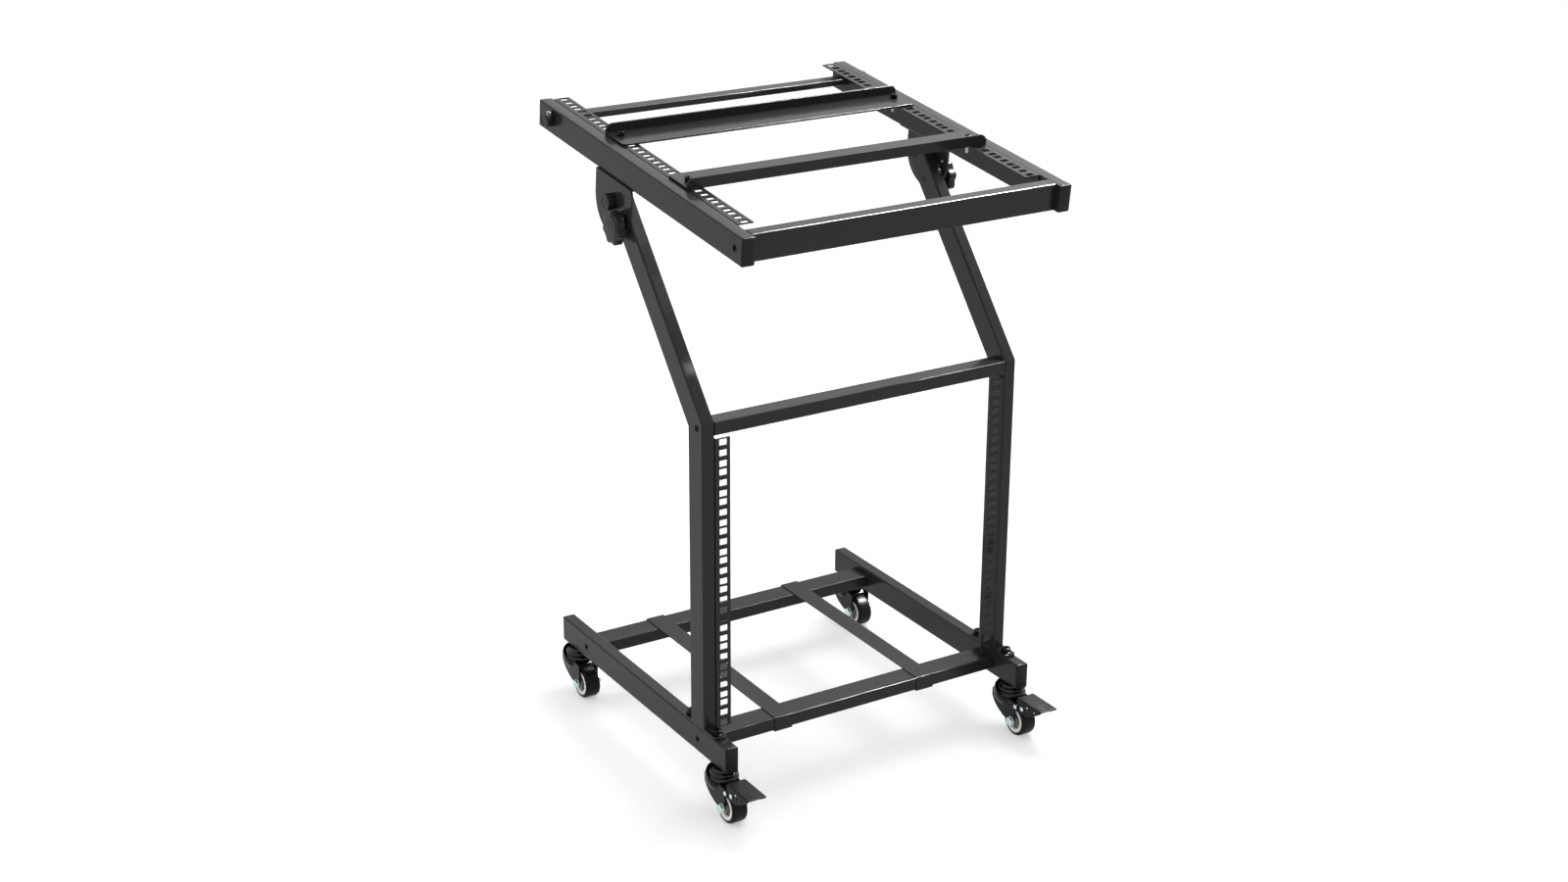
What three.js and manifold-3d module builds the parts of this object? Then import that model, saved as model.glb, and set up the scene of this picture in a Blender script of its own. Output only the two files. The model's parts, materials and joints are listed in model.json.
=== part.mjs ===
// Studio rack stand: a wheeled base, two cranked uprights with a lower equipment bay, and a
// tilting top frame with an upper bay and two movable stop bars.
// Millimetres, +Z up, +X to the right, +Y to the back. The front of the stand faces -Y.
// The origin is on the floor under the middle of the stand's outline.

import * as THREE from 'three';
import { mergeVertices } from 'three/addons/utils/BufferGeometryUtils.js';
import Module from 'manifold-3d';

const wasm = await Module();
wasm.setup();

const DEG = Math.PI / 180;

// Shared fits and sheet sizes
const gap = 0.35;            // clearance between pieces that seat on or turn in each other
const overrun = 2;           // how far a cutting tool runs past the face it cuts
const weldOverlap = 0.5;     // depth to which welded pieces are sunk into each other
const plugDepth = 8;         // threaded insert welded into the end of a cross tube

// Rack standard
const holeEdge = 6.35;       // unit edge to the first hole
const holePitch = 15.875;    // hole to hole inside one unit
const rackUnit = 2 * (holeEdge + holePitch);
const columnSpacing = 465.1; // between the two columns of holes
const holeWidth = 12.5;
const holeHeight = 9.5;
const lowerUnits = 10;
const upperUnits = 12;

// Rectangular tube of the beams and uprights
const tubeWidth = 20;
const tubeDepth = 40;
const tubeWall = 1.5;
const tubeCorner = 2;
const columnInset = 13.45;   // column of holes to the beam beside it

// Rack rail, an angle of bent sheet
const railSheet = 2;
const railFlange = 24.1;
const railLeg = 25;

// Base
const baseTubeLength = 507;
const baseFront = -61.5;     // front tip of the base, seen from the uprights' front face at y = 0
const baseBarDepth = 40;
const baseBarHeight = 20;
const frontBarY = 20;
const rearBarInset = 79.5;   // rear tip of the base to the middle of the rear bar

// End caps of the tubes
const capFlange = 2;
const capPlug = 12;
const capFit = 0.4;
const capBevel = 0.8;

// Straps that carry equipment on the base bars
const strapWidth = 30;
const strapSheet = 2.5;
const strapReturn = 6;
const strapLeftX = -133;
const strapRightX = 118;

// Uprights
const bendAngle = 40;        // lean of the upper part from the vertical, in degrees
const slantLength = 346;     // from the middle of the mitre to the tilt pivot
const slantPastPivot = 18;
const railFootGap = 1.6;     // base beam to the end of the rail
const footLength = 96;
const footSheet = 3.5;
const footMiddleY = 17;
const footCorner = 4;
const footBoltSpacing = 74;
const footBoltRadius = 4;
const footHeadRadius = 6.5;
const footHeadHeight = 6;
const footWasherRadius = 8.5;
const footWasherSheet = 1.5;
const footBoltReach = 14;

// Cross bar at the bend
const crossBarDepth = 30;
const crossBarHeight = 20;
const crossBarGap = 5;       // rail end to the underside of the bar

// Socket screws that pull the cross tubes against the beams
const screwRadius = 3;
const screwHeadRadius = 4.6;
const screwRecess = 1.2;
const screwAccessRadius = 5.1;
const socketRadius = 2.9;
const socketDepth = 3;

// Tilting top frame, placed from the tilt pivot
const tableTilt = 6.4;       // front lower than the back as it stands, in degrees
const tableAbovePivot = 32;  // pivot to the underside of the beams
const tableFront = 346;
const tableRear = 241;
const railFrontInset = 47.4;
const frontBarInset = 9.5;
const frontBarDepth = 20;
const rearBarFromEnd = 39.5; // beam's rear end to the middle of the rear bar
const rearBarDrop = 16.7;    // beam's top face to the middle of the rear bar
const rearBarDepth = 20;
const rearBarHeight = 10;
const rearBarWall = 1.2;
const rearBarCorner = 1.5;

// Tilt brackets: an angle welded under each top beam, with an arc slot for the clamping knob
const bracketSheet = 3;
const bracketRadius = 53;
const bracketCorner = 7;
const bracketFlangeReach = 16;
const clampRadius = 40;      // pivot to clamping bolt
const tiltForward = 40;      // travel of the slot in degrees from the pose as it stands
const slotSlackAngle = 1;    // play at each end of the slot, in degrees
const boltRadius = 4;
const boltEndSetback = 0.8;

// Hand knobs
const capKnobRadius = 12;
const capKnobLength = 12.5;
const capKnobDome = 1.6;
const knurlDepth = 0.7;
const knurlCount = 12;
const rearKnobRadius = 11.5;
const rearKnobLength = 12;
const starRadius = 25;
const starWaist = 21.5;
const starLobes = 7;
const starThickness = 13;
const starHubRadius = 11;
const starHubLength = 5;
const starDiscRadius = 18.5;
const starDiscRise = 2;
const starDiscShoulderShare = 0.7;
const starBevel = 2;

// Stop bars on the top frame
const stopSheet = 3;
const stopDepth = 55;
const stopLip = 16;
const stopOverhang = 1;      // end of the bar past the beam's inner face
const stopCorner = 9;
const stopScrewRadius = 3;
const stopHeadRadius = 5;
const stopHeadHeight = 6;
const stopPlateSheet = 1.2;  // plate of the threaded insert, below the rail
const stopPlateRim = 1;      // plate past the hole on each side
const stopThreadEnd = 12;    // thread that shows below the rail
const rearStopHoleCount = 12;  // holes from the rear end of the rail to the rear bar's screw
const frontStopHoleCount = 10; // and from the front end to the front bar's screw
const rearStopScrewBack = 20.2;  // screw to the lip's outer face
const frontStopScrewBack = 24.2;

// Casters, placed from the swivel axis and the floor
const frontCasterInset = 24;
const rearCasterInset = 33.5;
const casterTrail = 24;
const tyreRadius = 25;
const tyreWidth = 24.6;
const tyreShoulder = 3;
const rimOuter = 19;
const rimInner = 14;
const hubRecess = 4.5;
const hubRadius = 6.5;
const axleRadius = 3;
const axleHeadRadius = 7;
const axleHeadHeight = 5;
const axleNutHeight = 5.5;
const forkSheet = 2.2;
const forkSide = 2.2;        // wheel side to the inner face of a fork cheek
const crownRoom = 8;         // tyre to the underside of the fork crown
const crownRound = 31.5;     // rounding of the cheeks' rear edges, seen from above
const earRadius = 7;
const forkFront = 31;        // swivel axis to the front edge of the cheeks
const forkBrow = 9;          // swivel axis to the foot of the hood's rim
const forkBrowDrop = 2.7;
const forkShoulder = 7.2;    // crown to the fullest part of the rear edge
const forkKnee = 31.2;       // crown to the knee of the rear edge
const kneeInset = 6.6;
const domeRadius = 24.6;     // round part of the fork under and behind the race
const domeBack = 4;          // swivel axis to the middle of the round part
const domeFootRadius = 14;
const domeFootDrop = 18;     // crown to the foot of the round part
const domeWaist = 2;         // crown's underside to the widest part
const domeShoulder = 5.8;    // crown to the height from which the hood leans in
const hoodRoom = 1.8;        // beam to the hood
const hoodLean = 3.5;
const hoodCrest = 5.4;       // level part of the hood's rim, front to back
const apronReach = 21.5;     // swivel axis to the front edge of the sloping crown
const apronDrop = 7;
const raceRadius = 21;
const raceLowerRadius = 22;
const raceHeight = 6;
const raceGap = 0.4;
const raceRoll = 2;
const stemPlateRadius = 15;
const stemPlateSheet = 3.5;
const stemRadius = 5;
const stemReach = 14;
const kingpinRadius = 5;
const kingpinHead = 8;
const kingpinHeadHeight = 2;

// Brake pedal on the front casters
const brakePinRadius = 2.5;
const brakePinRoom = 1.4;    // tyre to the pin
const brakePinLean = 16.7;   // pin ahead of the axle, in degrees about the axle
const brakeNoseRadius = 5.2;
const brakePinHead = 3.4;
const brakePinHeadHeight = 1.2;
const pedalSheet = 1.5;
const pedalTopSheet = 1.8;
const pedalWidth = 32;
const pedalRise = 14.6;      // pin to the underside of the pedal plate
const pedalBack = 2.7;       // pin to the rear edge of the pedal plate
const pedalReach = 61.7;     // pin to the front edge
const pedalCorner = 5;
const pedalLobe = 5;
const pedalHeel = 6.8;       // pin to the rear edge of the skirt
const pedalSkirtDrop = 6.1;
const pedalSkirtFront = 27.4;
const pedalSkirtMiddle = 46.7;
const pedalSkirtRise = 3.9;
const pedalJoggle = 2;       // step between skirt and lobe, front to back
const pedalRivetForward = 16;
const pedalRivetRise = 2.9;
const shoeSheet = 2.5;
const shoeAngle = 45;
const shoeRoom = 2.8;        // tread to the shoe with the brake off

// Facets on round shapes
const roundSides = 12;
const boltSides = 8;
const hexSides = 6;
const cornerSteps = 1;
const curveSteps = 4;
const arcSteps = 8;
const wheelSides = 16;
const lobeSteps = 4;

// Heights and places that follow from the sizes above
const beamInner = columnSpacing / 2 + columnInset;
const beamCentre = beamInner + tubeWidth / 2;
const beamOuter = beamInner + tubeWidth;
const casterHeight = 2 * tyreRadius + crownRoom + forkSheet + 2 * raceHeight + raceGap
  + stemPlateSheet + gap;
const beamBottom = casterHeight;
const beamTop = beamBottom + tubeDepth;
const beamMiddle = beamBottom + tubeDepth / 2;
const baseTubeFront = baseFront + capFlange;
const baseRear = baseTubeFront + baseTubeLength + capFlange;
const rearBarY = baseRear - rearBarInset;
const lowerRailLength = lowerUnits * rackUnit;
const upperRailLength = upperUnits * rackUnit;
const lowerRailBottom = beamTop + railFootGap;
const crossBarBottom = lowerRailBottom + lowerRailLength + crossBarGap;
const bendFrontZ = crossBarBottom + crossBarHeight;
const mitreDrop = tubeDepth * Math.tan(bendAngle * DEG / 2);
const mitreMiddleZ = bendFrontZ - mitreDrop / 2;
const leanY = Math.sin(bendAngle * DEG);
const leanZ = Math.cos(bendAngle * DEG);
const pivotY = tubeDepth / 2 + slantLength * leanY;
const pivotZ = mitreMiddleZ + slantLength * leanZ;
const clampY = pivotY - clampRadius * leanY;
const clampZ = pivotZ - clampRadius * leanZ;
const tableTop = tableAbovePivot + tubeDepth;
const tableRailFront = -tableFront + railFrontInset;
const tableRailRear = tableRailFront + upperRailLength;
const tableRearBarY = tableRear - rearBarFromEnd;
const tableRearBarZ = tableTop - rearBarDrop;
const bracketFace = beamOuter + gap + bracketSheet;
const frontCasterY = baseFront + frontCasterInset;
const rearCasterY = baseRear - rearCasterInset;
const cheekInner = tyreWidth / 2 + forkSide;
const cheekOuter = cheekInner + forkSheet;
const crownZ = 2 * tyreRadius + crownRoom;
const crownTop = crownZ + forkSheet;
const hoodTop = casterHeight - hoodRoom;
const brakePinReach = tyreRadius + brakePinRoom + brakePinRadius;
const brakePinY = -casterTrail - brakePinReach * Math.sin(brakePinLean * DEG);
const brakePinZ = tyreRadius + brakePinReach * Math.cos(brakePinLean * DEG);

// Finishes
function finish(color, roughness, metalness) {
  return new THREE.MeshStandardMaterial({ color, roughness, metalness });
}
const powderCoat = finish(0x3c3c40, 0.5, 0.3);
const capPlastic = finish(0x2e2e31, 0.6, 0);
const knobPlastic = finish(0x2b2b2d, 0.45, 0);
const zinc = finish(0xb9c9cc, 0.3, 0.9);
const blackSteel = finish(0x1d1d20, 0.35, 0.6);
const glossBlack = finish(0x17171a, 0.2, 0.5);
const tyreBlack = finish(0x111112, 0.4, 0);

// Solids and meshes
function toSolid(geometry) {
  const bare = geometry.clone();
  bare.deleteAttribute('normal');
  bare.deleteAttribute('uv');
  const merged = mergeVertices(bare);
  return new wasm.Manifold(new wasm.Mesh({
    numProp: 3,
    vertProperties: Float32Array.from(merged.attributes.position.array),
    triVerts: Uint32Array.from(merged.index.array),
  }));
}

function toGeometry(solid) {
  const { numProp, vertProperties, triVerts } = solid.getMesh();
  const positions = new Float32Array(vertProperties.length / numProp * 3);
  for (let i = 0; i < positions.length / 3; i += 1) {
    for (let axis = 0; axis < 3; axis += 1) {
      positions[3 * i + axis] = vertProperties[numProp * i + axis];
    }
  }
  const geometry = new THREE.BufferGeometry();
  geometry.setAttribute('position', new THREE.BufferAttribute(positions, 3));
  geometry.setIndex(new THREE.BufferAttribute(Uint32Array.from(triVerts), 1));
  const flat = geometry.toNonIndexed();
  flat.computeVertexNormals();
  return flat;
}

function join(...geometries) {
  return geometries.map(toSolid).reduce((sum, next) => sum.add(next));
}

function cut(solid, ...tools) {
  return tools.reduce((left, tool) => left.subtract(toSolid(tool)), solid);
}

function mesh(name, shape, material) {
  const geometry = shape.isBufferGeometry ? shape : toGeometry(shape);
  const made = new THREE.Mesh(geometry, material);
  made.name = name;
  return made;
}

// Plain forms
function boxBetween(x0, x1, y0, y1, z0, z1) {
  const box = new THREE.BoxGeometry(Math.abs(x1 - x0), Math.abs(y1 - y0), Math.abs(z1 - z0));
  return box.translate((x0 + x1) / 2, (y0 + y1) / 2, (z0 + z1) / 2);
}

function rodX(radius, x0, x1, y, z, sides = boltSides) {
  const rod = new THREE.CylinderGeometry(radius, radius, Math.abs(x1 - x0), sides);
  return rod.rotateZ(Math.PI / 2).translate((x0 + x1) / 2, y, z);
}

function rodZ(radius, z0, z1, x, y, sides = boltSides) {
  const rod = new THREE.CylinderGeometry(radius, radius, Math.abs(z1 - z0), sides);
  return rod.rotateX(Math.PI / 2).translate(x, y, (z0 + z1) / 2);
}

// Turned form: points are [radius, height] from the axis round to the axis, or a closed ring.
function turned(points, sides) {
  const profile = points.map(([radius, height]) => new THREE.Vector2(radius, height));
  return new THREE.LatheGeometry(profile, sides);
}

function outline(points) {
  return new THREE.Shape(points.map(([x, y]) => new THREE.Vector2(x, y)));
}

function roundedRect(width, height, radius) {
  const shape = new THREE.Shape();
  const x = width / 2 - radius;
  const y = height / 2 - radius;
  shape.absarc(x, y, radius, 0, Math.PI / 2);
  shape.absarc(-x, y, radius, Math.PI / 2, Math.PI);
  shape.absarc(-x, -y, radius, Math.PI, 1.5 * Math.PI);
  shape.absarc(x, -y, radius, 1.5 * Math.PI, 2 * Math.PI);
  return shape;
}

function extruded(shape, depth, steps = cornerSteps) {
  return new THREE.ExtrudeGeometry(shape, { depth, bevelEnabled: false, curveSegments: steps });
}

// Shape drawn in Y and Z, made into a plate between x0 and x1.
const sideBasis = new THREE.Matrix4().makeBasis(
  new THREE.Vector3(0, 1, 0), new THREE.Vector3(0, 0, 1), new THREE.Vector3(1, 0, 0));
function sidePlate(shape, x0, x1, steps = cornerSteps) {
  const plate = extruded(shape, Math.abs(x1 - x0), steps).applyMatrix4(sideBasis);
  return plate.translate(Math.min(x0, x1), 0, 0);
}

// Hollow rectangular tube along Y, from y = 0, section width along X and height along Z.
function tubeAlongY(width, height, wall, corner, length) {
  const shape = roundedRect(width, height, corner);
  shape.holes.push(roundedRect(width - 2 * wall, height - 2 * wall, Math.max(corner - wall, wall / 2)));
  return extruded(shape, length).rotateX(-Math.PI / 2);
}

// Cross tube along X between two beams, closed by threaded inserts, with a socket screw through
// the beam at each end. A vent in the underside keeps the inside open, as on coated tubes.
function crossTube(depth, height, y, z, screwY = y) {
  const half = beamInner - gap;
  const outer = extruded(roundedRect(height, depth, tubeCorner), 2 * half).rotateY(Math.PI / 2);
  const inner = extruded(roundedRect(height - 2 * tubeWall, depth - 2 * tubeWall, tubeWall / 2),
    2 * (half - plugDepth)).rotateY(Math.PI / 2);
  let solid = toSolid(outer.translate(-half, y, z));
  solid = cut(solid, inner.translate(-half + plugDepth, y, z));
  solid = cut(solid, rodZ(screwRadius, z - height / 2 - overrun, z, 0, y));
  for (const side of [-1, 1]) {
    const headInner = beamInner + tubeWall + gap;
    const headOuter = beamOuter - screwRecess;
    solid = solid.add(toSolid(rodX(screwRadius, side * (half - overrun), side * (headInner + overrun),
      screwY, z)));
    solid = solid.add(toSolid(rodX(screwHeadRadius, side * headInner, side * headOuter, screwY, z)));
    solid = cut(solid, rodX(socketRadius, side * (headOuter - socketDepth),
      side * (headOuter + overrun), screwY, z, hexSides));
  }
  return solid;
}

// Bores for a cross tube's screw: clearance in the inner wall, access in the outer wall.
function screwBores(side, y, z) {
  const bore = screwRadius + gap;
  return [
    rodX(bore, side * (beamInner - overrun), side * (beamInner + tubeWall + overrun), y, z),
    rodX(screwAccessRadius, side * (beamOuter - tubeWall - overrun), side * (beamOuter + overrun), y, z),
  ];
}

function throughBore(radius, side, y, z) {
  return rodX(radius, side * (beamInner - overrun), side * (beamOuter + overrun), y, z);
}

// Plastic end cap, drawn with its outer face at y = 0 and its plug along +Y.
function endCap() {
  const flange = new THREE.ExtrudeGeometry(roundedRect(tubeWidth, tubeDepth, tubeCorner), {
    depth: capFlange - capBevel,
    bevelEnabled: true,
    bevelThickness: capBevel,
    bevelSize: capBevel,
    bevelOffset: -capBevel,
    bevelSegments: 1,
    curveSegments: cornerSteps,
  }).rotateX(Math.PI / 2);
  // The back of the bevelled form is cut flat where it meets the tube.
  const half = capFlange + capBevel + overrun;
  let solid = toSolid(flange.translate(0, capFlange, 0));
  solid = cut(solid, boxBetween(-tubeDepth, tubeDepth, capFlange, half, -tubeDepth, tubeDepth));
  const plug = roundedRect(tubeWidth - 2 * (tubeWall + capFit), tubeDepth - 2 * (tubeWall + capFit),
    tubeWall / 2);
  const plugForm = extruded(plug, capPlug + weldOverlap).rotateX(-Math.PI / 2);
  return solid.add(toSolid(plugForm.translate(0, capFlange - weldOverlap, 0)));
}

// Position of the n-th rack hole from the end of a rail, n from 0.
function holePlace(n) {
  return holeEdge + Math.floor(n / 3) * rackUnit + (n % 3) * holePitch;
}

// Rack rail along Y from y = 0, face up at z = 0, leg down, for one side of the stand.
function rackRail(units, side) {
  const outerX = beamInner - gap;
  const holeX = columnSpacing / 2;
  const length = units * rackUnit;
  const face = outline([[side * (outerX - railFlange), 0], [side * outerX, 0],
    [side * outerX, length], [side * (outerX - railFlange), length]]);
  for (let n = 0; n < 3 * units; n += 1) {
    const middle = holePlace(n);
    const hole = new THREE.Path([
      [-1, -1], [1, -1], [1, 1], [-1, 1]].map(([u, v]) => new THREE.Vector2(
      side * holeX + u * holeWidth / 2, middle + v * holeHeight / 2)));
    face.holes.push(hole);
  }
  const flange = extruded(face, railSheet).translate(0, 0, -railSheet);
  const leg = boxBetween(side * (outerX - railSheet), side * outerX, 0, length, -railLeg, 0);
  return join(flange, leg);
}

// Base beam: hollow tube with the bores for casters, foot bolts and cross tube screws.
function baseBeam(side) {
  const tube = tubeAlongY(tubeWidth, tubeDepth, tubeWall, tubeCorner, baseTubeLength);
  let solid = toSolid(tube.translate(side * beamCentre, baseTubeFront, beamMiddle));
  for (const y of [frontBarY, rearBarY]) {
    solid = cut(solid, ...screwBores(side, y, beamMiddle));
  }
  for (const end of [-1, 1]) {
    solid = cut(solid, rodZ(footBoltRadius + gap, beamTop - tubeWall - overrun, beamTop + overrun,
      side * beamCentre, footMiddleY + end * footBoltSpacing / 2));
  }
  for (const y of [frontCasterY, rearCasterY]) {
    solid = cut(solid, rodZ(stemRadius + gap, beamBottom - overrun, beamBottom + tubeWall + overrun,
      side * beamCentre, y, roundSides));
  }
  return solid;
}

// Strap: flat bar with both ends bent down and under the base bars, free to slide along them.
function strap() {
  const front = frontBarY - baseBarDepth / 2 - gap;
  const rear = rearBarY + baseBarDepth / 2 + gap;
  const top = beamMiddle + baseBarHeight / 2 + gap;
  const bottom = beamMiddle - baseBarHeight / 2 - gap;
  const t = strapSheet;
  const profile = outline([
    [front - t, bottom - t], [front + strapReturn, bottom - t], [front + strapReturn, bottom],
    [front, bottom], [front, top], [rear, top], [rear, bottom], [rear - strapReturn, bottom],
    [rear - strapReturn, bottom - t], [rear + t, bottom - t], [rear + t, top + t / 2],
    [rear + t / 2, top + t], [front - t / 2, top + t], [front - t, top + t / 2],
  ]);
  return sidePlate(profile, -strapWidth / 2, strapWidth / 2);
}

// Side view of the cranked upright, drawn in by an inset on every side.
function uprightOutline(inset, foot, head) {
  const lean = new THREE.Vector2(leanY, leanZ);
  const across = new THREE.Vector2(leanZ, -leanY);
  const middle = new THREE.Vector2(tubeDepth / 2, mitreMiddleZ);
  const half = tubeDepth / 2 - inset;
  const rise = half * Math.tan(bendAngle * DEG / 2);
  const topMiddle = middle.clone().addScaledVector(lean, slantLength + slantPastPivot + head);
  const topFront = topMiddle.clone().addScaledVector(across, -half);
  const topRear = topMiddle.clone().addScaledVector(across, half);
  return outline([
    [tubeDepth / 2 - half, foot], [tubeDepth / 2 + half, foot],
    [tubeDepth / 2 + half, mitreMiddleZ - rise], [topRear.x, topRear.y],
    [topFront.x, topFront.y], [tubeDepth / 2 - half, mitreMiddleZ + rise],
  ]);
}

// Upright: mitred hollow tube with its foot plate welded on.
function upright(side) {
  const foot = beamTop + gap;
  const tubeFoot = foot + footSheet - weldOverlap;
  const body = new THREE.ExtrudeGeometry(uprightOutline(0, tubeFoot - tubeCorner, tubeCorner), {
    depth: tubeWidth - 2 * tubeCorner,
    bevelEnabled: true,
    bevelThickness: tubeCorner,
    bevelSize: tubeCorner,
    bevelOffset: -tubeCorner,
    bevelSegments: cornerSteps,
    curveSegments: cornerSteps,
  }).applyMatrix4(sideBasis).translate(side * beamCentre - tubeWidth / 2 + tubeCorner, 0, 0);
  const squared = sidePlate(uprightOutline(-overrun, tubeFoot, 0),
    side * beamCentre - tubeWidth, side * beamCentre + tubeWidth);
  const hollow = sidePlate(uprightOutline(tubeWall, foot + footSheet, overrun),
    side * beamCentre - tubeWidth / 2 + tubeWall, side * beamCentre + tubeWidth / 2 - tubeWall);
  const plate = extruded(roundedRect(tubeWidth, footLength, footCorner), footSheet)
    .translate(side * beamCentre, footMiddleY, foot);
  let solid = cut(toSolid(body).intersect(toSolid(squared)), hollow).add(toSolid(plate));
  for (const end of [-1, 1]) {
    solid = cut(solid, rodZ(footBoltRadius + gap, foot - overrun, foot + footSheet + overrun,
      side * beamCentre, footMiddleY + end * footBoltSpacing / 2));
  }
  solid = cut(solid, ...screwBores(side, crossBarDepth / 2, crossBarBottom + crossBarHeight / 2));
  solid = cut(solid, throughBore(boltRadius + gap, side, pivotY, pivotZ),
    throughBore(boltRadius + gap, side, clampY, clampZ));
  return solid;
}

// Foot bolt with washer, standing on the foot plate.
function footBolt() {
  const washerTop = gap + footWasherSheet;
  const headTop = washerTop + footHeadHeight;
  const form = turned([
    [0, -footBoltReach], [footBoltRadius, -footBoltReach], [footBoltRadius, gap],
    [footWasherRadius, gap], [footWasherRadius, washerTop], [footHeadRadius, washerTop],
    [footHeadRadius, headTop - footWasherSheet], [footHeadRadius - footWasherSheet, headTop],
    [0, headTop]], boltSides).rotateX(Math.PI / 2);
  return cut(join(form), rodZ(socketRadius, headTop - socketDepth, headTop + overrun, 0, 0, hexSides));
}

// Arc slot about the pivot, as a hole in the bracket's outline.
function arcSlot(radius, halfWidth, from, to) {
  const slot = new THREE.Path();
  const endAt = (angle) => [radius * Math.cos(angle), radius * Math.sin(angle)];
  slot.absarc(0, 0, radius + halfWidth, from, to, false);
  slot.absarc(...endAt(to), halfWidth, to, to + Math.PI, false);
  slot.absarc(0, 0, radius - halfWidth, to, from, true);
  slot.absarc(...endAt(from), halfWidth, from + Math.PI, from + 2 * Math.PI, false);
  return slot;
}

// Tilt bracket in the top frame's own axes, with the pivot at the origin of Y and Z.
function tiltBracket(side) {
  const top = tableAbovePivot + weldOverlap;
  const shape = new THREE.Shape();
  shape.moveTo(-bracketRadius + bracketCorner, top);
  shape.absarc(-bracketRadius + bracketCorner, top - bracketCorner, bracketCorner,
    Math.PI / 2, Math.PI, false);
  shape.absarc(0, 0, bracketRadius, Math.PI, 2 * Math.PI, false);
  shape.lineTo(bracketRadius, top);
  const clampAngle = (270 - bendAngle - tableTilt) * DEG;
  const slack = slotSlackAngle * DEG;
  const slotHalf = boltRadius + gap;
  shape.holes.push(arcSlot(clampRadius, slotHalf, clampAngle - tiltForward * DEG - slack,
    clampAngle + tableTilt * DEG + slack));
  const bore = new THREE.Path();
  bore.absarc(0, 0, boltRadius + gap, 0, 2 * Math.PI, false);
  shape.holes.push(bore);
  const plate = sidePlate(shape, side * (beamOuter + gap), side * bracketFace, arcSteps);
  const flange = boxBetween(side * (beamOuter - bracketFlangeReach), side * bracketFace,
    -bracketRadius + bracketCorner, bracketRadius, tableAbovePivot - bracketSheet, top);
  return [plate, flange];
}

// Top beam with its tilt bracket welded under it.
function tableBeam(side) {
  const length = tableFront + tableRear - 2 * capFlange;
  const tube = tubeAlongY(tubeWidth, tubeDepth, tubeWall, tubeCorner, length);
  let solid = toSolid(tube.translate(side * beamCentre, -tableFront + capFlange,
    tableAbovePivot + tubeDepth / 2));
  const [plate, flange] = tiltBracket(side);
  solid = solid.add(toSolid(flange)).add(toSolid(plate));
  const frontScrewY = -tableFront + frontBarInset + frontBarDepth / 2;
  solid = cut(solid, ...screwBores(side, frontScrewY, tableAbovePivot + tubeDepth / 2));
  return cut(solid, throughBore(screwRadius + gap, side, tableRearBarY, tableRearBarZ));
}

// Rear bar of the top frame, a flat tube between the rails' legs with bored inserts.
function tableRearBar() {
  const half = beamInner - 2 * gap - railSheet;
  const outer = extruded(roundedRect(rearBarHeight, rearBarDepth, rearBarCorner), 2 * half)
    .rotateY(Math.PI / 2).translate(-half, tableRearBarY, tableRearBarZ);
  const inner = extruded(roundedRect(rearBarHeight - 2 * rearBarWall, rearBarDepth - 2 * rearBarWall,
    rearBarWall / 2), 2 * (half - plugDepth))
    .rotateY(Math.PI / 2).translate(-half + plugDepth, tableRearBarY, tableRearBarZ);
  let solid = cut(toSolid(outer), inner);
  for (const side of [-1, 1]) {
    solid = cut(solid, rodX(screwRadius + gap, side * (half - plugDepth - overrun),
      side * (half + overrun), tableRearBarY, tableRearBarZ));
  }
  return solid;
}

// Knurled hand knob on its screw, along +X from the face it seats on at x = 0.
function capKnob(radius, length, shankRadius, shankLength) {
  const rim = new THREE.Shape();
  for (let i = 0; i < 2 * knurlCount; i += 1) {
    const angle = i * Math.PI / knurlCount;
    const r = i % 2 === 0 ? radius : radius - knurlDepth;
    rim[i === 0 ? 'moveTo' : 'lineTo'](r * Math.cos(angle), r * Math.sin(angle));
  }
  const body = extruded(rim, length - capKnobDome).rotateY(Math.PI / 2).translate(gap, 0, 0);
  const dome = turned([[0, -overrun], [radius - 2 * knurlDepth, -overrun],
    [radius - 2 * knurlDepth, 0], [radius / 2, capKnobDome], [0, capKnobDome]], roundSides)
    .rotateZ(-Math.PI / 2).translate(gap + length - capKnobDome, 0, 0);
  const shank = rodX(shankRadius, -shankLength, gap + overrun, 0, 0);
  return join(body, dome, shank);
}

// Lobed clamping knob on its screw, along +X from the face it seats on at x = 0.
function starKnob(shankLength) {
  const lobe = new THREE.Shape();
  const points = starLobes * lobeSteps;
  const mean = (starRadius + starWaist) / 2 - starBevel;
  const swing = (starRadius - starWaist) / 2;
  for (let i = 0; i < points; i += 1) {
    const angle = i * 2 * Math.PI / points;
    const r = mean + swing * Math.cos(starLobes * angle);
    lobe[i === 0 ? 'moveTo' : 'lineTo'](r * Math.cos(angle), r * Math.sin(angle));
  }
  const head = new THREE.ExtrudeGeometry(lobe, {
    depth: starThickness - 2 * starBevel,
    bevelEnabled: true,
    bevelThickness: starBevel,
    bevelSize: starBevel,
    bevelSegments: 1,
  }).rotateY(Math.PI / 2).translate(gap + starHubLength + starBevel, 0, 0);
  const hub = rodX(starHubRadius, gap, gap + starHubLength + starBevel, 0, 0, roundSides);
  const face = gap + starHubLength + starThickness;
  const disc = turned([[0, -overrun], [starDiscRadius, -overrun], [starDiscRadius, 0],
    [starDiscRadius - starDiscRise, starDiscShoulderShare * starDiscRise],
    [starDiscRadius / 2, starDiscRise], [0, starDiscRise]], roundSides)
    .rotateZ(-Math.PI / 2).translate(face, 0, 0);
  const shank = rodX(boltRadius, -shankLength, gap + overrun, 0, 0);
  return join(head, hub, disc, shank);
}

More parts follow.
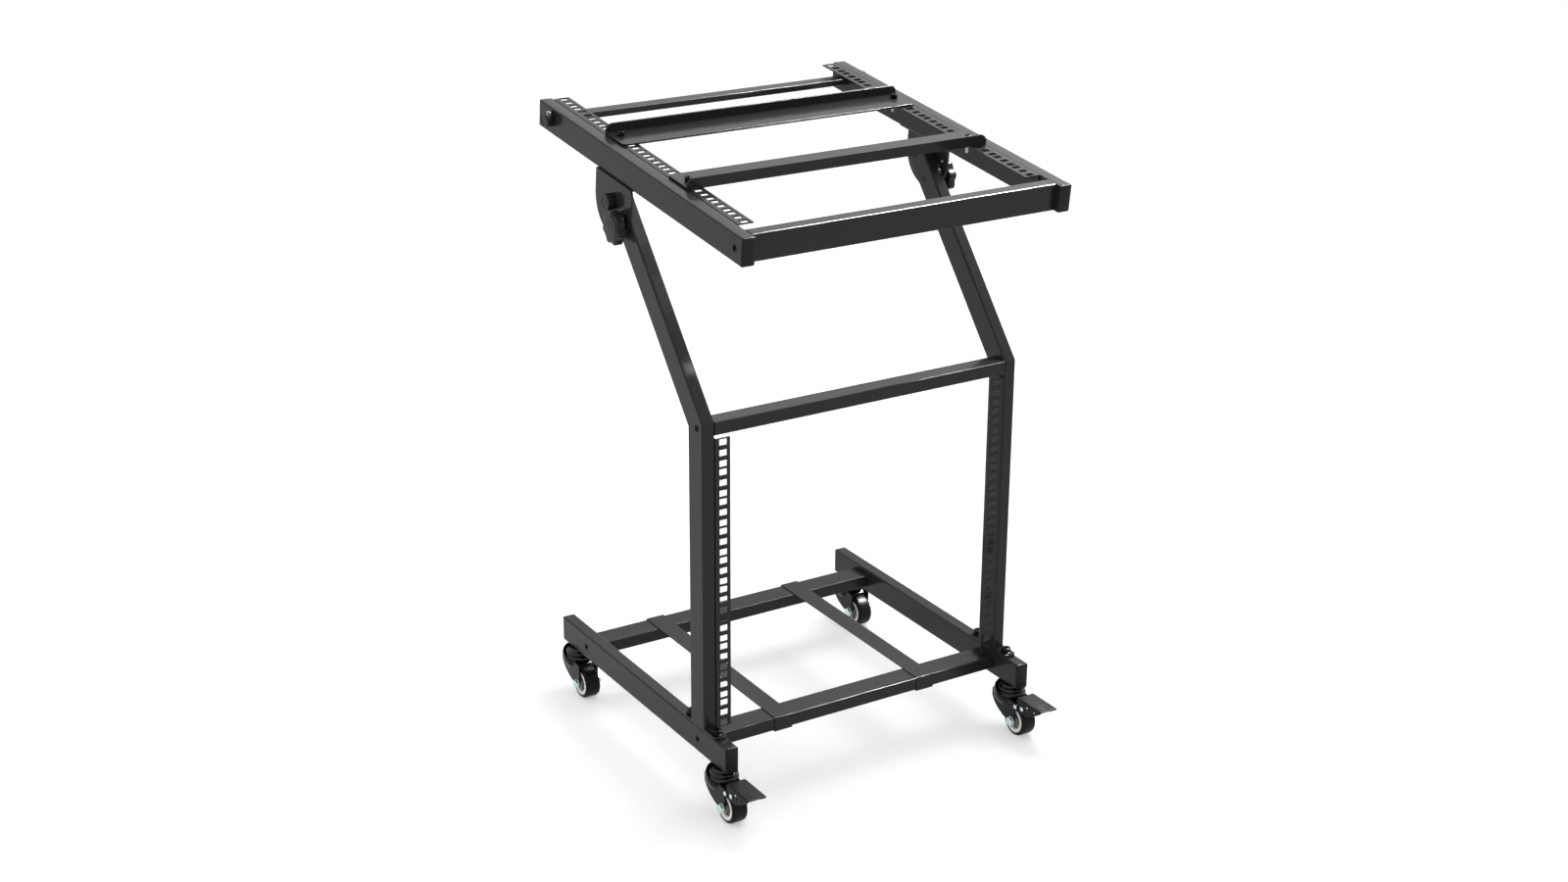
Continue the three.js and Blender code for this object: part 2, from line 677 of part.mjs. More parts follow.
// Stop bar: flange on the rails from y = 0 away from the lip, lip standing at y = 0.
// Toward is +1 when the flange runs to the back and -1 when it runs to the front.
function stopBar(toward, screwBack) {
  const half = beamInner + stopOverhang;
  const corner = stopCorner / 2;
  const flangeShape = new THREE.Shape();
  flangeShape.moveTo(-half, 0);
  flangeShape.lineTo(half, 0);
  flangeShape.lineTo(half, stopDepth - corner);
  flangeShape.absarc(half - corner, stopDepth - corner, corner, 0, Math.PI / 2);
  flangeShape.absarc(-half + corner, stopDepth - corner, corner, Math.PI / 2, Math.PI);
  const lipShape = new THREE.Shape();
  lipShape.moveTo(-half, 0);
  lipShape.lineTo(half, 0);
  lipShape.lineTo(half, stopLip - stopCorner);
  lipShape.absarc(half - stopCorner, stopLip - stopCorner, stopCorner, 0, Math.PI / 2);
  lipShape.absarc(-half + stopCorner, stopLip - stopCorner, stopCorner, Math.PI / 2, Math.PI);
  const flange = extruded(flangeShape, stopSheet);
  const lip = extruded(lipShape, stopSheet).rotateX(Math.PI / 2).translate(0, stopSheet, 0);
  let solid = join(flange, lip);
  for (const side of [-1, 1]) {
    solid = cut(solid, rodZ(stopScrewRadius + gap, -overrun, stopSheet + overrun,
      side * columnSpacing / 2, screwBack));
  }
  if (toward < 0) {
    solid = solid.mirror([0, 1, 0]);
  }
  return solid.translate([0, 0, gap]);
}

// Screw of a stop bar: socket head above the flange, square insert in the rail's hole with its
// plate under the rail, and the thread end below.
function stopScrew() {
  const seat = 2 * gap + stopSheet;
  const headTop = seat + stopHeadHeight;
  const below = -railSheet - gap;
  const halfX = holeWidth / 2;
  const halfY = holeHeight / 2;
  const head = rodZ(stopHeadRadius, seat, headTop, 0, 0);
  const shank = rodZ(stopScrewRadius, -railSheet - stopThreadEnd, seat + weldOverlap, 0, 0);
  const insert = boxBetween(gap - halfX, halfX - gap, gap - halfY, halfY - gap,
    below - stopPlateSheet, 0);
  const plate = boxBetween(-halfX - stopPlateRim, halfX + stopPlateRim, -halfY - stopPlateRim,
    halfY + stopPlateRim, below - stopPlateSheet, below);
  return cut(join(head, shank, insert, plate),
    rodZ(socketRadius, headTop - socketDepth, headTop + overrun, 0, 0, hexSides));
}

// Caster stem with the upper ball race and the kingpin, in floor heights about the swivel axis.
function casterStem() {
  const plateTop = casterHeight - gap;
  const plateBottom = plateTop - stemPlateSheet;
  const raceBottom = plateBottom - raceHeight;
  const pinTip = crownZ - gap - kingpinHeadHeight;
  return turned([
    [0, pinTip], [kingpinHead, pinTip], [kingpinHead, crownZ - gap],
    [kingpinRadius, crownZ - gap], [kingpinRadius, raceBottom],
    [raceRadius, raceBottom], [raceRadius, plateBottom - raceRoll],
    [raceRadius - raceRoll, plateBottom],
    [stemPlateRadius, plateBottom], [stemPlateRadius, plateTop], [stemRadius, plateTop],
    [stemRadius, casterHeight + stemReach], [0, casterHeight + stemReach],
  ], roundSides).rotateX(Math.PI / 2);
}

// Side view of the fork: round axle ear, full rear edge, hood with its sloping rim, and brow.
function forkOutline() {
  const rear = domeBack + domeRadius;
  const shape = new THREE.Shape();
  shape.moveTo(-forkFront, crownTop - forkBrowDrop);
  shape.lineTo(-casterTrail - earRadius, tyreRadius);
  shape.absarc(-casterTrail, tyreRadius, earRadius, Math.PI, 1.75 * Math.PI, false);
  shape.quadraticCurveTo(rear - kneeInset, crownTop - forkKnee, rear, crownTop - forkShoulder);
  shape.lineTo(rear + overrun, crownZ);
  shape.lineTo(rear + overrun, hoodTop);
  shape.lineTo(rear - hoodCrest, hoodTop);
  shape.lineTo(-forkBrow, crownTop);
  return shape;
}

// Skin of the fork, drawn in by an inset: two cheeks and the round part about the race.
function forkSkin(inset) {
  const side = cheekOuter - inset;
  const round = crownRound - inset;
  const rear = domeBack + domeRadius - inset;
  const radius = domeRadius - inset;
  const channel = toSolid(boxBetween(-side, side, -2 * forkFront, rear, -overrun, crownTop));
  const plan = toSolid(rodZ(round, -2 * overrun, hoodTop, 0, 0, wheelSides))
    .add(toSolid(boxBetween(-round, round, -crownRound - forkFront, 0, -2 * overrun, hoodTop)));
  const dome = turned([
    [0, crownZ - domeFootDrop], [domeFootRadius - inset, crownZ - domeFootDrop],
    [radius, crownZ - domeWaist], [radius, crownTop + domeShoulder],
    [radius - hoodLean, hoodTop + inset], [0, hoodTop + inset],
  ], wheelSides).rotateX(Math.PI / 2).translate(0, domeBack, 0);
  return channel.intersect(plan).add(toSolid(dome));
}

// Room inside the fork, as plates across it: wheel space, space above the sloping front of the
// crown, and the bowl in which the race turns.
function forkRooms() {
  const half = domeRadius + forkSheet;
  const front = -2 * forkFront;
  const back = 2 * crownRound;
  const apronZ = crownZ - apronDrop;
  const wheelRoom = outline([[front, -overrun], [back, -overrun], [back, crownZ], [-forkBrow, crownZ],
    [-apronReach, apronZ], [front, apronZ]]);
  const frontRoom = outline([[-forkBrow, crownTop], [-apronReach, apronZ + forkSheet],
    [-apronReach, apronZ - overrun], [front, apronZ - overrun], [front, hoodTop], [-forkBrow, hoodTop]]);
  const bowl = outline([[-forkBrow - overrun, crownTop], [back, crownTop], [back, hoodTop + overrun],
    [-forkBrow - overrun, hoodTop + overrun]]);
  return [wheelRoom, frontRoom, bowl].map((shape) => toSolid(sidePlate(shape, -half, half)));
}

// Swivel fork: pressed shell with the lower ball race on its crown and the bore for the axle.
function casterFork(braked) {
  const inside = forkSkin(forkSheet);
  let solid = forkSkin(0).intersect(toSolid(sidePlate(forkOutline(), -2 * cheekOuter,
    2 * cheekOuter, curveSteps)));
  for (const room of forkRooms()) {
    solid = solid.subtract(inside.intersect(room));
  }
  const race = turned([
    [kingpinRadius + gap, 0], [raceLowerRadius, 0], [raceLowerRadius, raceHeight - raceRoll],
    [raceLowerRadius - raceRoll, raceHeight], [kingpinRadius + gap, raceHeight],
    [kingpinRadius + gap, 0],
  ], roundSides).rotateX(Math.PI / 2).translate(0, 0, crownTop - weldOverlap);
  solid = solid.add(toSolid(race));
  solid = cut(solid, rodZ(kingpinRadius + gap, crownZ - overrun, crownTop + overrun, 0, 0, roundSides),
    rodX(axleRadius + gap, -2 * cheekOuter, 2 * cheekOuter, -casterTrail, tyreRadius));
  if (braked) {
    const tip = cheekOuter + brakePinHeadHeight;
    solid = solid.add(toSolid(rodX(brakePinRadius, -cheekOuter, cheekOuter, brakePinY, brakePinZ)));
    for (const side of [-1, 1]) {
      solid = solid.add(toSolid(rodX(brakeNoseRadius, side * cheekInner, side * cheekOuter,
        brakePinY, brakePinZ, roundSides)));
      solid = solid.add(toSolid(rodX(brakePinHead, side * (cheekOuter - weldOverlap), side * tip,
        brakePinY, brakePinZ)));
    }
  }
  return solid;
}

// Wheel: core with recessed faces and a proud rim, tyre moulded on, bored for the axle.
function casterWheel() {
  const half = tyreWidth / 2;
  const bore = axleRadius + gap;
  const web = half - hubRecess;
  const side = [
    [bore, half], [hubRadius, half], [hubRadius, web], [rimInner, web], [rimInner, half],
    [rimOuter, half], [tyreRadius, half - tyreShoulder],
  ];
  const profile = [...side.map(([r, x]) => [r, -x]), ...side.reverse(), [bore, -half]];
  return turned(profile, wheelSides).rotateZ(-Math.PI / 2);
}

// Axle screw with its hexagon head on the left and nut on the right.
function casterAxle() {
  const seat = cheekOuter + gap;
  const head = rodX(axleHeadRadius, -seat - axleHeadHeight, -seat, 0, 0, hexSides);
  const nut = rodX(axleHeadRadius, seat, seat + axleNutHeight, 0, 0, hexSides);
  const shank = rodX(axleRadius, -seat - weldOverlap, seat + weldOverlap, 0, 0);
  return join(head, nut, shank);
}

// Brake pedal, drawn from its pin: plate, two side skirts, lobes inside the cheeks and a shoe.
function brakePedal() {
  const top = pedalRise;
  const half = pedalWidth / 2;
  const skirt = outline([
    [-pedalBack, top + weldOverlap], [-pedalHeel, pedalLobe], [-pedalHeel, -pedalLobe],
    [-pedalSkirtFront, -pedalSkirtDrop], [-pedalSkirtMiddle, pedalSkirtRise],
    [-pedalReach + pedalTopSheet, top - pedalTopSheet], [-pedalReach + pedalTopSheet, top + weldOverlap],
  ]);
  const lobe = new THREE.Shape();
  lobe.moveTo(0, -pedalLobe);
  lobe.absarc(0, 0, pedalLobe, -Math.PI / 2, Math.PI / 2, false);
  lobe.lineTo(-pedalHeel - pedalJoggle, pedalLobe);
  lobe.lineTo(-pedalHeel - pedalJoggle, -pedalLobe);
  const plateShape = new THREE.Shape();
  plateShape.moveTo(half, -pedalBack);
  plateShape.lineTo(-half, -pedalBack);
  plateShape.lineTo(-half, -pedalReach + pedalCorner);
  const cornerX = half - pedalCorner;
  const cornerY = -pedalReach + pedalCorner;
  plateShape.absarc(-cornerX, cornerY, pedalCorner, Math.PI, 1.5 * Math.PI);
  plateShape.absarc(cornerX, cornerY, pedalCorner, 1.5 * Math.PI, 2 * Math.PI);
  let solid = toSolid(extruded(plateShape, pedalTopSheet).translate(0, 0, top));
  const lobeOuter = cheekInner - gap;
  for (const side of [-1, 1]) {
    const outer = side * half;
    solid = solid.add(toSolid(sidePlate(skirt, outer, outer - side * pedalSheet)));
    const lobePlate = sidePlate(lobe, side * lobeOuter, side * (lobeOuter - pedalSheet), curveSteps);
    solid = solid.add(toSolid(lobePlate));
    solid = solid.add(toSolid(boxBetween(outer, side * (lobeOuter - pedalSheet),
      -pedalHeel - pedalJoggle, -pedalHeel, -pedalLobe, pedalLobe)));
    solid = solid.add(toSolid(rodX(brakePinHead, outer - side * weldOverlap,
      outer + side * brakePinHeadHeight, -pedalRivetForward, pedalRivetRise)));
  }
  const shoeReach = tyreRadius + shoeRoom;
  const shoeY = -casterTrail - shoeReach * Math.sin(shoeAngle * DEG) - brakePinY;
  const shoeZ = tyreRadius + shoeReach * Math.cos(shoeAngle * DEG) - brakePinZ;
  const shoe = boxBetween(-lobeOuter, lobeOuter, shoeY - shoeSheet, shoeY, shoeZ, top + weldOverlap);
  solid = solid.add(toSolid(shoe));
  return cut(solid, rodX(brakePinRadius + gap, -lobeOuter - weldOverlap, lobeOuter + weldOverlap, 0, 0));
}

// Assembly
const stand = new THREE.Group();
const sides = [['left', -1], ['right', 1]];

// Base and uprights
for (const [word, side] of sides) {
  stand.add(mesh(`base_beam_${word}`, baseBeam(side), powderCoat));
  const frontCap = mesh(`base_cap_front_${word}`, endCap(), capPlastic);
  frontCap.position.set(side * beamCentre, baseFront - gap, beamMiddle);
  const rearCap = mesh(`base_cap_rear_${word}`, endCap(), capPlastic);
  rearCap.position.set(side * beamCentre, baseRear + gap, beamMiddle);
  rearCap.rotation.z = Math.PI;
  stand.add(frontCap, rearCap);
  stand.add(mesh(`upright_${word}`, upright(side), powderCoat));
  const rail = mesh(`rack_rail_lower_${word}`, rackRail(lowerUnits, side), powderCoat);
  rail.rotation.x = Math.PI / 2;
  rail.position.set(0, 0, lowerRailBottom);
  stand.add(rail);
  for (const [place, end] of [['front', -1], ['rear', 1]]) {
    const bolt = mesh(`foot_bolt_${place}_${word}`, footBolt(), blackSteel);
    bolt.position.set(side * beamCentre, footMiddleY + end * footBoltSpacing / 2,
      beamTop + gap + footSheet);
    stand.add(bolt);
  }
}
for (const [place, y] of [['front', frontBarY], ['rear', rearBarY]]) {
  const bar = crossTube(baseBarDepth, baseBarHeight, y, beamMiddle);
  stand.add(mesh(`base_bar_${place}`, bar, powderCoat));
}
stand.add(mesh('cross_bar_bend', crossTube(crossBarDepth, crossBarHeight, crossBarDepth / 2,
  crossBarBottom + crossBarHeight / 2), powderCoat));
for (const [word, x] of [['left', strapLeftX], ['right', strapRightX]]) {
  const band = mesh(`strap_${word}`, strap(), powderCoat);
  band.position.x = x;
  stand.add(band);
}

// Knobs and bolts of the tilt joint, carried by the uprights
for (const [word, side] of sides) {
  const seat = bracketFace;
  const shankLength = seat - beamInner - boltEndSetback;
  const pivotKnob = mesh(`pivot_knob_${word}`,
    capKnob(capKnobRadius, capKnobLength, boltRadius, shankLength), knobPlastic);
  pivotKnob.position.set(side * seat, pivotY, pivotZ);
  const clampKnob = mesh(`clamp_knob_${word}`, starKnob(shankLength), knobPlastic);
  clampKnob.position.set(side * seat, clampY, clampZ);
  for (const knob of [pivotKnob, clampKnob]) {
    knob.rotation.z = side < 0 ? Math.PI : 0;
    stand.add(knob);
  }
}

// Tilting top frame
const table = new THREE.Group();
table.position.set(0, pivotY, pivotZ);
table.rotation.x = tableTilt * DEG;
stand.add(table);
const tableMiddle = tableAbovePivot + tubeDepth / 2;
for (const [word, side] of sides) {
  table.add(mesh(`table_beam_${word}`, tableBeam(side), powderCoat));
  const frontCap = mesh(`table_cap_front_${word}`, endCap(), capPlastic);
  frontCap.position.set(side * beamCentre, -tableFront - gap, tableMiddle);
  const rearCap = mesh(`table_cap_rear_${word}`, endCap(), capPlastic);
  rearCap.position.set(side * beamCentre, tableRear + gap, tableMiddle);
  rearCap.rotation.z = Math.PI;
  table.add(frontCap, rearCap);
  const rail = cut(rackRail(upperUnits, side).translate([0, tableRailFront, tableTop]),
    rodX(screwRadius + gap, side * (beamInner - railSheet - overrun), side * (beamInner + overrun),
      tableRearBarY, tableRearBarZ));
  table.add(mesh(`rack_rail_upper_${word}`, rail, powderCoat));
  const knob = mesh(`rear_knob_${word}`, capKnob(rearKnobRadius, rearKnobLength, screwRadius,
    tubeWidth + 2 * gap + railSheet + plugDepth), knobPlastic);
  knob.position.set(side * beamOuter, tableRearBarY, tableRearBarZ);
  knob.rotation.z = side < 0 ? Math.PI : 0;
  table.add(knob);
}
table.add(mesh('table_bar_front', crossTube(frontBarDepth, tubeDepth,
  -tableFront + frontBarInset + frontBarDepth / 2, tableMiddle), powderCoat));
table.add(mesh('table_bar_rear', tableRearBar(), powderCoat));

// Stop bars, each screwed to one hole of both upper rails
const stops = [
  ['rear', tableRailRear - holePlace(rearStopHoleCount), -1, rearStopScrewBack],
  ['front', tableRailFront + holePlace(frontStopHoleCount), 1, frontStopScrewBack],
];
for (const [place, screwY, toward, screwBack] of stops) {
  const bar = mesh(`stop_bar_${place}`, stopBar(toward, screwBack), powderCoat);
  bar.position.set(0, screwY - toward * screwBack, tableTop);
  table.add(bar);
  for (const [word, side] of sides) {
    const screw = mesh(`stop_screw_${place}_${word}`, stopScrew(), blackSteel);
    screw.position.set(side * columnSpacing / 2, screwY, tableTop);
    table.add(screw);
  }
}

// Casters
for (const [place, y] of [['front', frontCasterY], ['rear', rearCasterY]]) {
  for (const [word, side] of sides) {
    const tag = `${place}_${word}`;
    const caster = new THREE.Group();
    caster.position.set(side * beamCentre, y, 0);
    stand.add(caster);
    caster.add(mesh(`caster_stem_${tag}`, casterStem(), glossBlack));
    caster.add(mesh(`caster_fork_${tag}`, casterFork(place === 'front'), powderCoat));
    const wheel = mesh(`caster_wheel_${tag}`, casterWheel(), tyreBlack);
    wheel.position.set(0, -casterTrail, tyreRadius);
    const axle = mesh(`caster_axle_${tag}`, casterAxle(), zinc);
    axle.position.set(0, -casterTrail, tyreRadius);
    caster.add(wheel, axle);
    if (place === 'front') {
      const pedal = mesh(`brake_pedal_${word}`, brakePedal(), powderCoat);
      pedal.position.set(0, brakePinY, brakePinZ);
      caster.add(pedal);
    }
  }
}

// The stand is centred on its outline, front to back.
const extent = new THREE.Box3().setFromObject(stand, true);
stand.position.y = -(extent.min.y + extent.max.y) / 2;

export default stand;
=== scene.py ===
"""Studio rack stand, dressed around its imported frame.

The frame gives every steel part its place. This script softens the edges of the coated steel,
models the straps and the small parts afresh and gives each surface its finish. Sizes are in
millimetres and angles in degrees unless a name or a comment says otherwise; finished meshes are
in metres.
"""

from __future__ import annotations

import json
import logging
import math
from collections.abc import Callable, Iterable, Sequence
from dataclasses import dataclass
from enum import Enum

import bmesh
import bpy
from mathutils import Matrix, Vector

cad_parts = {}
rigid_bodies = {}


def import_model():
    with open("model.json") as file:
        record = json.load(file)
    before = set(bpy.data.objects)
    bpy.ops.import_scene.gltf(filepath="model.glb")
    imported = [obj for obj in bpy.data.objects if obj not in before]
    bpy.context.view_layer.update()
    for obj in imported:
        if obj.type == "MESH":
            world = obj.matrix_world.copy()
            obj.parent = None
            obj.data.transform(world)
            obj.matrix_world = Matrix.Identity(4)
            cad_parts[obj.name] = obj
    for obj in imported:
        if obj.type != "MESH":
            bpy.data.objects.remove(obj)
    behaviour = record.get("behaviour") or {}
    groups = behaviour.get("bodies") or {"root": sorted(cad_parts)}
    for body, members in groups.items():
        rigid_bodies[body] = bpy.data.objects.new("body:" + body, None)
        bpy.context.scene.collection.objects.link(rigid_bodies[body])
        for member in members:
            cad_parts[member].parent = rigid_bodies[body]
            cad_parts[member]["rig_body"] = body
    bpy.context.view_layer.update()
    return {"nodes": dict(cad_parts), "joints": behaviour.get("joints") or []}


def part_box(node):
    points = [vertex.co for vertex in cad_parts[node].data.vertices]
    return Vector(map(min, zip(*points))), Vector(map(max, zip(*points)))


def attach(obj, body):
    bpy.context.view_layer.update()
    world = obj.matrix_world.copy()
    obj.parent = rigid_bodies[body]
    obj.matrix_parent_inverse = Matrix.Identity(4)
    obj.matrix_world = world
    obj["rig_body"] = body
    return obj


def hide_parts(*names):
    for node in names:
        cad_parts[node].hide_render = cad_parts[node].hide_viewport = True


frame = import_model()

LOG = logging.getLogger("rack_stand")
MM = 0.001
HERE = Matrix.Identity(4)
TOP_LEAN = 6.4  # Lean of the top frame as it stands
TOP_TILT = Matrix.Rotation(math.radians(TOP_LEAN), 4, "X")
SIGNS = (-1, 1)  # Left and right

Colour = tuple[float, float, float]
Point = tuple[float, float, float]
Profile = Sequence[tuple[float, float]]
Outline = Sequence[tuple[float, float, float]]


class Side(Enum):
    """Left or right half of the stand, with the sign of its X."""

    LEFT = ("left", -1)
    RIGHT = ("right", 1)

    @property
    def word(self) -> str:
        """Word used in node names."""
        return self.value[0]

    @property
    def sign(self) -> int:
        """Sign of X on this side."""
        return self.value[1]


class Place(Enum):
    """Front or rear end of the stand."""

    FRONT = "front"
    REAR = "rear"


# Finishes

# Detail of a finish's three noises: drift of the colour, clouds of gloss, relief.
DRIFT_DETAIL, CLOUD_DETAIL, RELIEF_DETAIL = 3.0, 4.0, 2.0
CLOUD_GRAINS = 9  # Grains across a cloud of gloss


def fill_sockets(node: bpy.types.Node, values: dict[str, float | tuple[float, ...]]) -> None:
    """Set the constants of a shader node.

    Args:
        node: Shader node.
        values: Value of each socket, by the socket's name.
    """
    for socket, value in values.items():
        node.inputs[socket].default_value = value


@dataclass(frozen=True)
class Finish:
    """Surface with a fine grain: sprayed coat, moulded plastic or plated metal.

    Attributes:
        name: Material name.
        slot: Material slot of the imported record, or None.
        colour: Linear base colour.
        roughness: Mean roughness.
        metallic: Metallic share.
        grain: Size of one grain of the relief.
        relief: Height of the relief.
        mottle: Share by which the colour drifts over the piece.
        drift: Length over which the colour drifts.
        gloss_spread: Swing of the roughness.
        tint: Second colour that the drift blends to, or None for a darker shade.
        coat: Weight of a clear coat.
        coat_roughness: Roughness of that coat.
        specular: Strength of the plain reflection.
    """

    name: str
    slot: str | None
    colour: Colour
    roughness: float
    metallic: float = 0.0
    grain: float = 0.9
    relief: float = 0.012
    mottle: float = 0.12
    drift: float = 55.0
    gloss_spread: float = 0.05
    tint: Colour | None = None
    coat: float = 0.0
    coat_roughness: float = 0.12
    specular: float = 0.4

    def material(self) -> bpy.types.Material:
        """Return the material, made on first use."""
        known = bpy.data.materials.get(self.name)
        return known or self._build()

    def _build(self) -> bpy.types.Material:
        """Build the node tree on Object coordinates.

        Returns:
            The material.
        """
        made = bpy.data.materials.new(self.name)
        made.use_nodes = True
        tree = made.node_tree
        nodes, links = tree.nodes, tree.links
        shader = nodes["Principled BSDF"]
        fill_sockets(shader, {
            "Metallic": self.metallic, "Coat Weight": self.coat,
            "Coat Roughness": self.coat_roughness, "Specular IOR Level": self.specular,
        })
        place = nodes.new("ShaderNodeTexCoord")

        drift = self._noise(tree, place, self.drift, DRIFT_DETAIL)
        blend = nodes.new("ShaderNodeMix")
        blend.data_type = "RGBA"
        second = self.tint or tuple(c * (1 - self.mottle) for c in self.colour)
        fill_sockets(blend, {"A": (*self.colour, 1), "B": (*second, 1)})
        links.new(drift.outputs["Fac"], blend.inputs["Factor"])
        links.new(blend.outputs["Result"], shader.inputs["Base Color"])

        cloud = self._noise(tree, place, self.grain * CLOUD_GRAINS, CLOUD_DETAIL)
        swing = nodes.new("ShaderNodeMapRange")
        fill_sockets(swing, {
            "To Min": self.roughness - self.gloss_spread,
            "To Max": self.roughness + self.gloss_spread,
        })
        links.new(cloud.outputs["Fac"], swing.inputs["Value"])
        links.new(swing.outputs["Result"], shader.inputs["Roughness"])

        peel = self._noise(tree, place, self.grain, RELIEF_DETAIL)
        bump = nodes.new("ShaderNodeBump")
        fill_sockets(bump, {"Distance": self.relief * MM, "Strength": 1.0})
        links.new(peel.outputs["Fac"], bump.inputs["Height"])
        links.new(bump.outputs["Normal"], shader.inputs["Normal"])
        return made

    @staticmethod
    def _noise(
        tree: bpy.types.NodeTree, place: bpy.types.Node, size: float, detail: float
    ) -> bpy.types.Node:
        """Add a noise on Object coordinates.

        Args:
            tree: Node tree of the material.
            place: Texture coordinate node.
            size: Size of the noise's spots.
            detail: Noise detail.

        Returns:
            The noise node.
        """
        noise = tree.nodes.new("ShaderNodeTexNoise")
        fill_sockets(noise, {"Scale": 1 / (size * MM), "Detail": detail})
        tree.links.new(place.outputs["Object"], noise.inputs["Vector"])
        return noise


POWDER = Finish(
    "powder_coat_black", "powder_coat", (0.02, 0.02, 0.0222), 0.31, coat=0.22, coat_roughness=0.1,
    specular=0.05,
)
CAP = Finish(
    "cap_plastic_black", "cap_plastic", (0.016, 0.016, 0.017), 0.42, grain=0.6, relief=0.02,
    specular=0.1,
)
KNOB = Finish(
    "knob_plastic_black", "knob_plastic", (0.018, 0.018, 0.019), 0.36, grain=0.5, relief=0.02,
    specular=0.14,
)
BLACKED = Finish(
    "blacked_steel", "black_steel", (0.005, 0.005, 0.006), 0.22, grain=0.4, specular=0.08
)
ENAMEL = Finish(
    "enamel_black", "gloss_black", (0.004, 0.004, 0.005), 0.16, grain=2.5, relief=0.01, coat=0.3,
    specular=0.2,
)
FORK = Finish("fork_enamel", "powder_coat", (0.006, 0.006, 0.007), 0.26, grain=1.2, specular=0.12)
PEDAL = Finish("pedal_coat", "powder_coat", (0.012, 0.012, 0.013), 0.36, grain=0.8, specular=0.1)
ZINC = Finish(
    "zinc_plate", "zinc", (0.74, 0.85, 0.85), 0.26, metallic=0.8, grain=0.5, relief=0.008,
    drift=6.0, tint=(0.5, 0.72, 0.7),
)
BARE = Finish(
    "bare_thread", None, (0.75, 0.76, 0.77), 0.3, metallic=0.8, grain=0.4, tint=(0.6, 0.62, 0.64)
)
TREAD = Finish(
    "tread_black", "wheel", (0.004, 0.004, 0.004), 0.36, grain=0.35, relief=0.015, specular=0.12
)
RIM = Finish("rim_white", None, (0.93, 0.92, 0.88), 0.3, grain=0.6, relief=0.006, mottle=0.03)
HUB = Finish(
    "hub_grey", None, (0.33, 0.32, 0.3), 0.36, metallic=0.7, grain=0.5, relief=0.02, mottle=0.35
)


# Forms

POINT_SEAM = 1e-4  # Distance within which two points of a form are one
CORNER_FACETS = 6  # Facets of a plate's rounded corner
RIM_FACETS = 3  # Facets of a softened rim
BLOCK_FACETS = 2  # Facets of a block's softened edge
PASS_STRENGTH = 0.5  # How far a smoothing pass moves a point to the middle of its neighbours
LEVEL = 0.9  # Least upright share of a level face's normal
SMOOTH_ANGLE = 38.0  # Angle below which faces shade as one surface
SHEET_ANGLE = 32.0  # The same on sheet and tube


class Axis(Enum):
    """Direction in which a form drawn along Z is laid."""

    X = Matrix.Rotation(math.pi / 2, 4, "Y")
    MINUS_X = Matrix.Rotation(-math.pi / 2, 4, "Y")
    Y = Matrix.Rotation(-math.pi / 2, 4, "X")
    MINUS_Y = Matrix.Rotation(math.pi / 2, 4, "X")


# Lays an outline drawn as (y, z) across the stand, its height along X.
SIDE_VIEW = Matrix(((0, 0, 1, 0), (1, 0, 0, 0), (0, 1, 0, 0), (0, 0, 0, 1)))


class Carve(Enum):
    """What a second form does to the first."""

    ADD = "UNION"
    REMOVE = "DIFFERENCE"
    TRIM = "INTERSECT"


def soften(
    part: bmesh.types.BMesh,
    geometry: Sequence[bmesh.types.BMEdge | bmesh.types.BMVert],
    width: float,
    facets: int,
    affect: str = "EDGES",
) -> None:
    """Round edges or corners.

    Args:
        part: Mesh that they belong to.
        geometry: Its edges or corners.
        width: Distance that the rounding reaches from them.
        facets: Facets of the rounding.
        affect: EDGES or VERTICES.
    """
    bmesh.ops.bevel(
        part, geom=geometry, offset=width, offset_type="OFFSET", segments=facets, profile=0.5,
        affect=affect, clamp_overlap=True, material=-1,
    )


